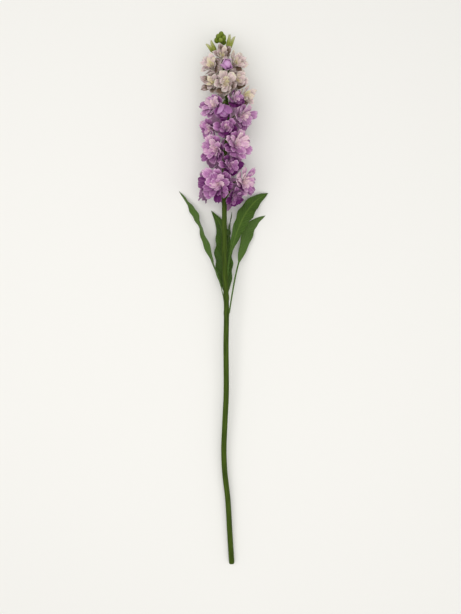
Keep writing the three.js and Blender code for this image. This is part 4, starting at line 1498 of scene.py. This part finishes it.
@dataclass(frozen=True)
class Stem:
    """The long stem: faint ribs, a swelling under each leaf, and a cut end."""

    first: float = 2.0  # where its even rings begin
    step: float = 3.0
    sides: int = 32
    ribs: int = 5
    rib_height: float = 0.035  # share of the radius
    rib_twist: float = 90.0  # length over which the ribs' wave moves on by a radian
    swelling: float = 0.5
    swelling_length: float = 4.0
    cut_bevel: float = 0.5  # from the cut end to its first full ring
    cut_rings: tuple[tuple[float, float], ...] = ((0.12, 1.0), (0.5, 0.9), (0.86, 0.4))  # radius and tone
    leaf_roots: tuple[float, ...] = tuple(leaf.line[0][1] for leaf in LEAVES)

    def build(self, material: bpy.types.Material) -> bpy.types.Object:
        """Makes the stem.

        Args:
            material: Its finish.

        Returns:
            The piece.
        """
        places = [self.cut_bevel, *np.linspace(self.first, STEM_LENGTH, round(STEM_LENGTH / self.step))]
        radii = []
        for at in places:
            swelling = sum(math.exp(-(((at - root) / self.swelling_length) ** 2)) for root in self.leaf_roots)
            ribs = 1 + self.rib_height * np.sin(self.ribs * circle(self.sides) + at / self.rib_twist)
            radii.append((stem_radius(at) + self.swelling * swelling) * ribs)
        centres = np.array([stem_centre(at) for at in places])
        rings = rings_along(centres, RIGHT, np.array(radii), self.sides)
        shares, tones = np.array(self.cut_rings).T[..., None]
        cut = stem_centre(0.0) + (rings[0] - centres[0]) * shares[..., None]
        rings = np.concatenate([cut, rings])
        rings[..., 2] = np.maximum(rings[..., 2], 0.0)
        tone = np.zeros(rings.shape[:2])
        tone[: len(tones)] = tones
        skin = Skin()
        skin.add_tube(rings, tone)
        return skin.to_piece("green_stem", material, "stem")


@dataclass(frozen=True)
class Studio:
    """A pale floor, plain soft light and a camera that looks down as the photograph looks at the stem."""

    camera_at: tuple[float, float, float] = (11.78, 78.72, 1005.0)
    pitch: float = -4.2
    lens: float = 35.0
    sensor: float = 36.0
    floor_size: float = 6.0  # in metres
    floor_drop: float = 0.05
    daylight: str = "#f4f5f7"
    daylight_strength: float = 0.46

    def build(self) -> None:
        """Makes the floor, the lights and the camera."""
        scene = bpy.context.scene
        scene.view_settings.view_transform = "Standard"
        world = bpy.data.worlds.new("soft_daylight")
        world.use_nodes = True
        sky = {"Color": linear(self.daylight), "Strength": self.daylight_strength}
        feed(world.node_tree.nodes["Background"], sky)
        scene.world = world
        half = self.floor_size / 2
        corners = [(-half, -half, 0), (half, -half, 0), (half, half, 0), (-half, half, 0)]
        mesh = bpy.data.meshes.new("pale_floor")
        mesh.from_pydata(corners, [], [(0, 1, 2, 3)])
        mesh.materials.append(BackdropPaper().make())
        floor = bpy.data.objects.new("pale_floor", mesh)
        floor.location.z = -self.floor_drop * MM
        scene.collection.objects.link(floor)
        self.light("high_window", (-0.5, 0.15, 1.8), (0.0, 0.1, 0.0), 2.4, 25.5)
        self.light("front_fill", (0.8, -0.5, 1.8), (0.0, 0.0, 0.0), 2.0, 13.0)
        camera = bpy.data.objects.new("camera", bpy.data.cameras.new("camera"))
        camera.data.lens = self.lens
        camera.data.sensor_width = self.sensor
        camera.location = [value * MM for value in self.camera_at]
        camera.rotation_euler = (math.radians(self.pitch), 0, 0)
        scene.collection.objects.link(camera)
        scene.camera = camera

    def light(
        self, name: str, at: tuple[float, ...], to: tuple[float, ...], size: float, watts: float
    ) -> None:
        """Adds a soft square light.

        Args:
            name: The light's name.
            at: Its place, in metres.
            to: The point that it shines at.
            size: Its side, in metres.
            watts: Its power.
        """
        light = bpy.data.lights.new(name, "AREA")
        light.shape = "SQUARE"
        light.size = size
        light.energy = watts
        lamp = bpy.data.objects.new(name, light)
        lamp.location = at
        way = Vector(to) - Vector(at)
        lamp.rotation_mode = "QUATERNION"
        lamp.rotation_quaternion = way.to_track_quat("-Z", "Y")
        bpy.context.scene.collection.objects.link(lamp)


def main() -> None:
    """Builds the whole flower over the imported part."""
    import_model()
    Studio().build()
    finishes = {Tint.DEEP: DEEP_PETAL.make(), Tint.LILAC: LILAC_PETAL.make(), Tint.PALE: PALE_PETAL.make()}
    sepal, bud = SEPAL_SKIN.make(), BUD_SKIN.make()
    blade, furled = LeafBlade().make(), FURLED_PETAL.make()
    makers: list[Callable[[], bpy.types.Object]] = [partial(Stem().build, STEM_SKIN.make())]
    makers += [partial(leaf.build, blade) for leaf in LEAVES]
    makers += [partial(Calyx(bloom).build, sepal) for bloom in BLOOMS]
    for bloom in BLOOMS:
        finish = furled if bloom.kind is Kind.CUPPED else finishes[bloom.tint]
        makers.append(partial(bloom.build, BLOOMS, finish))
    makers += [partial(side.build, bud) for side in BUDS]
    makers.append(partial(TipCluster().build, TIP_SKIN.make()))
    for make in makers:
        piece = make()
        LOG.info("%s: %d faces", piece.name, len(piece.data.polygons))


if __name__ == "__main__":
    logging.basicConfig(level=logging.INFO, format="%(message)s")
    main()
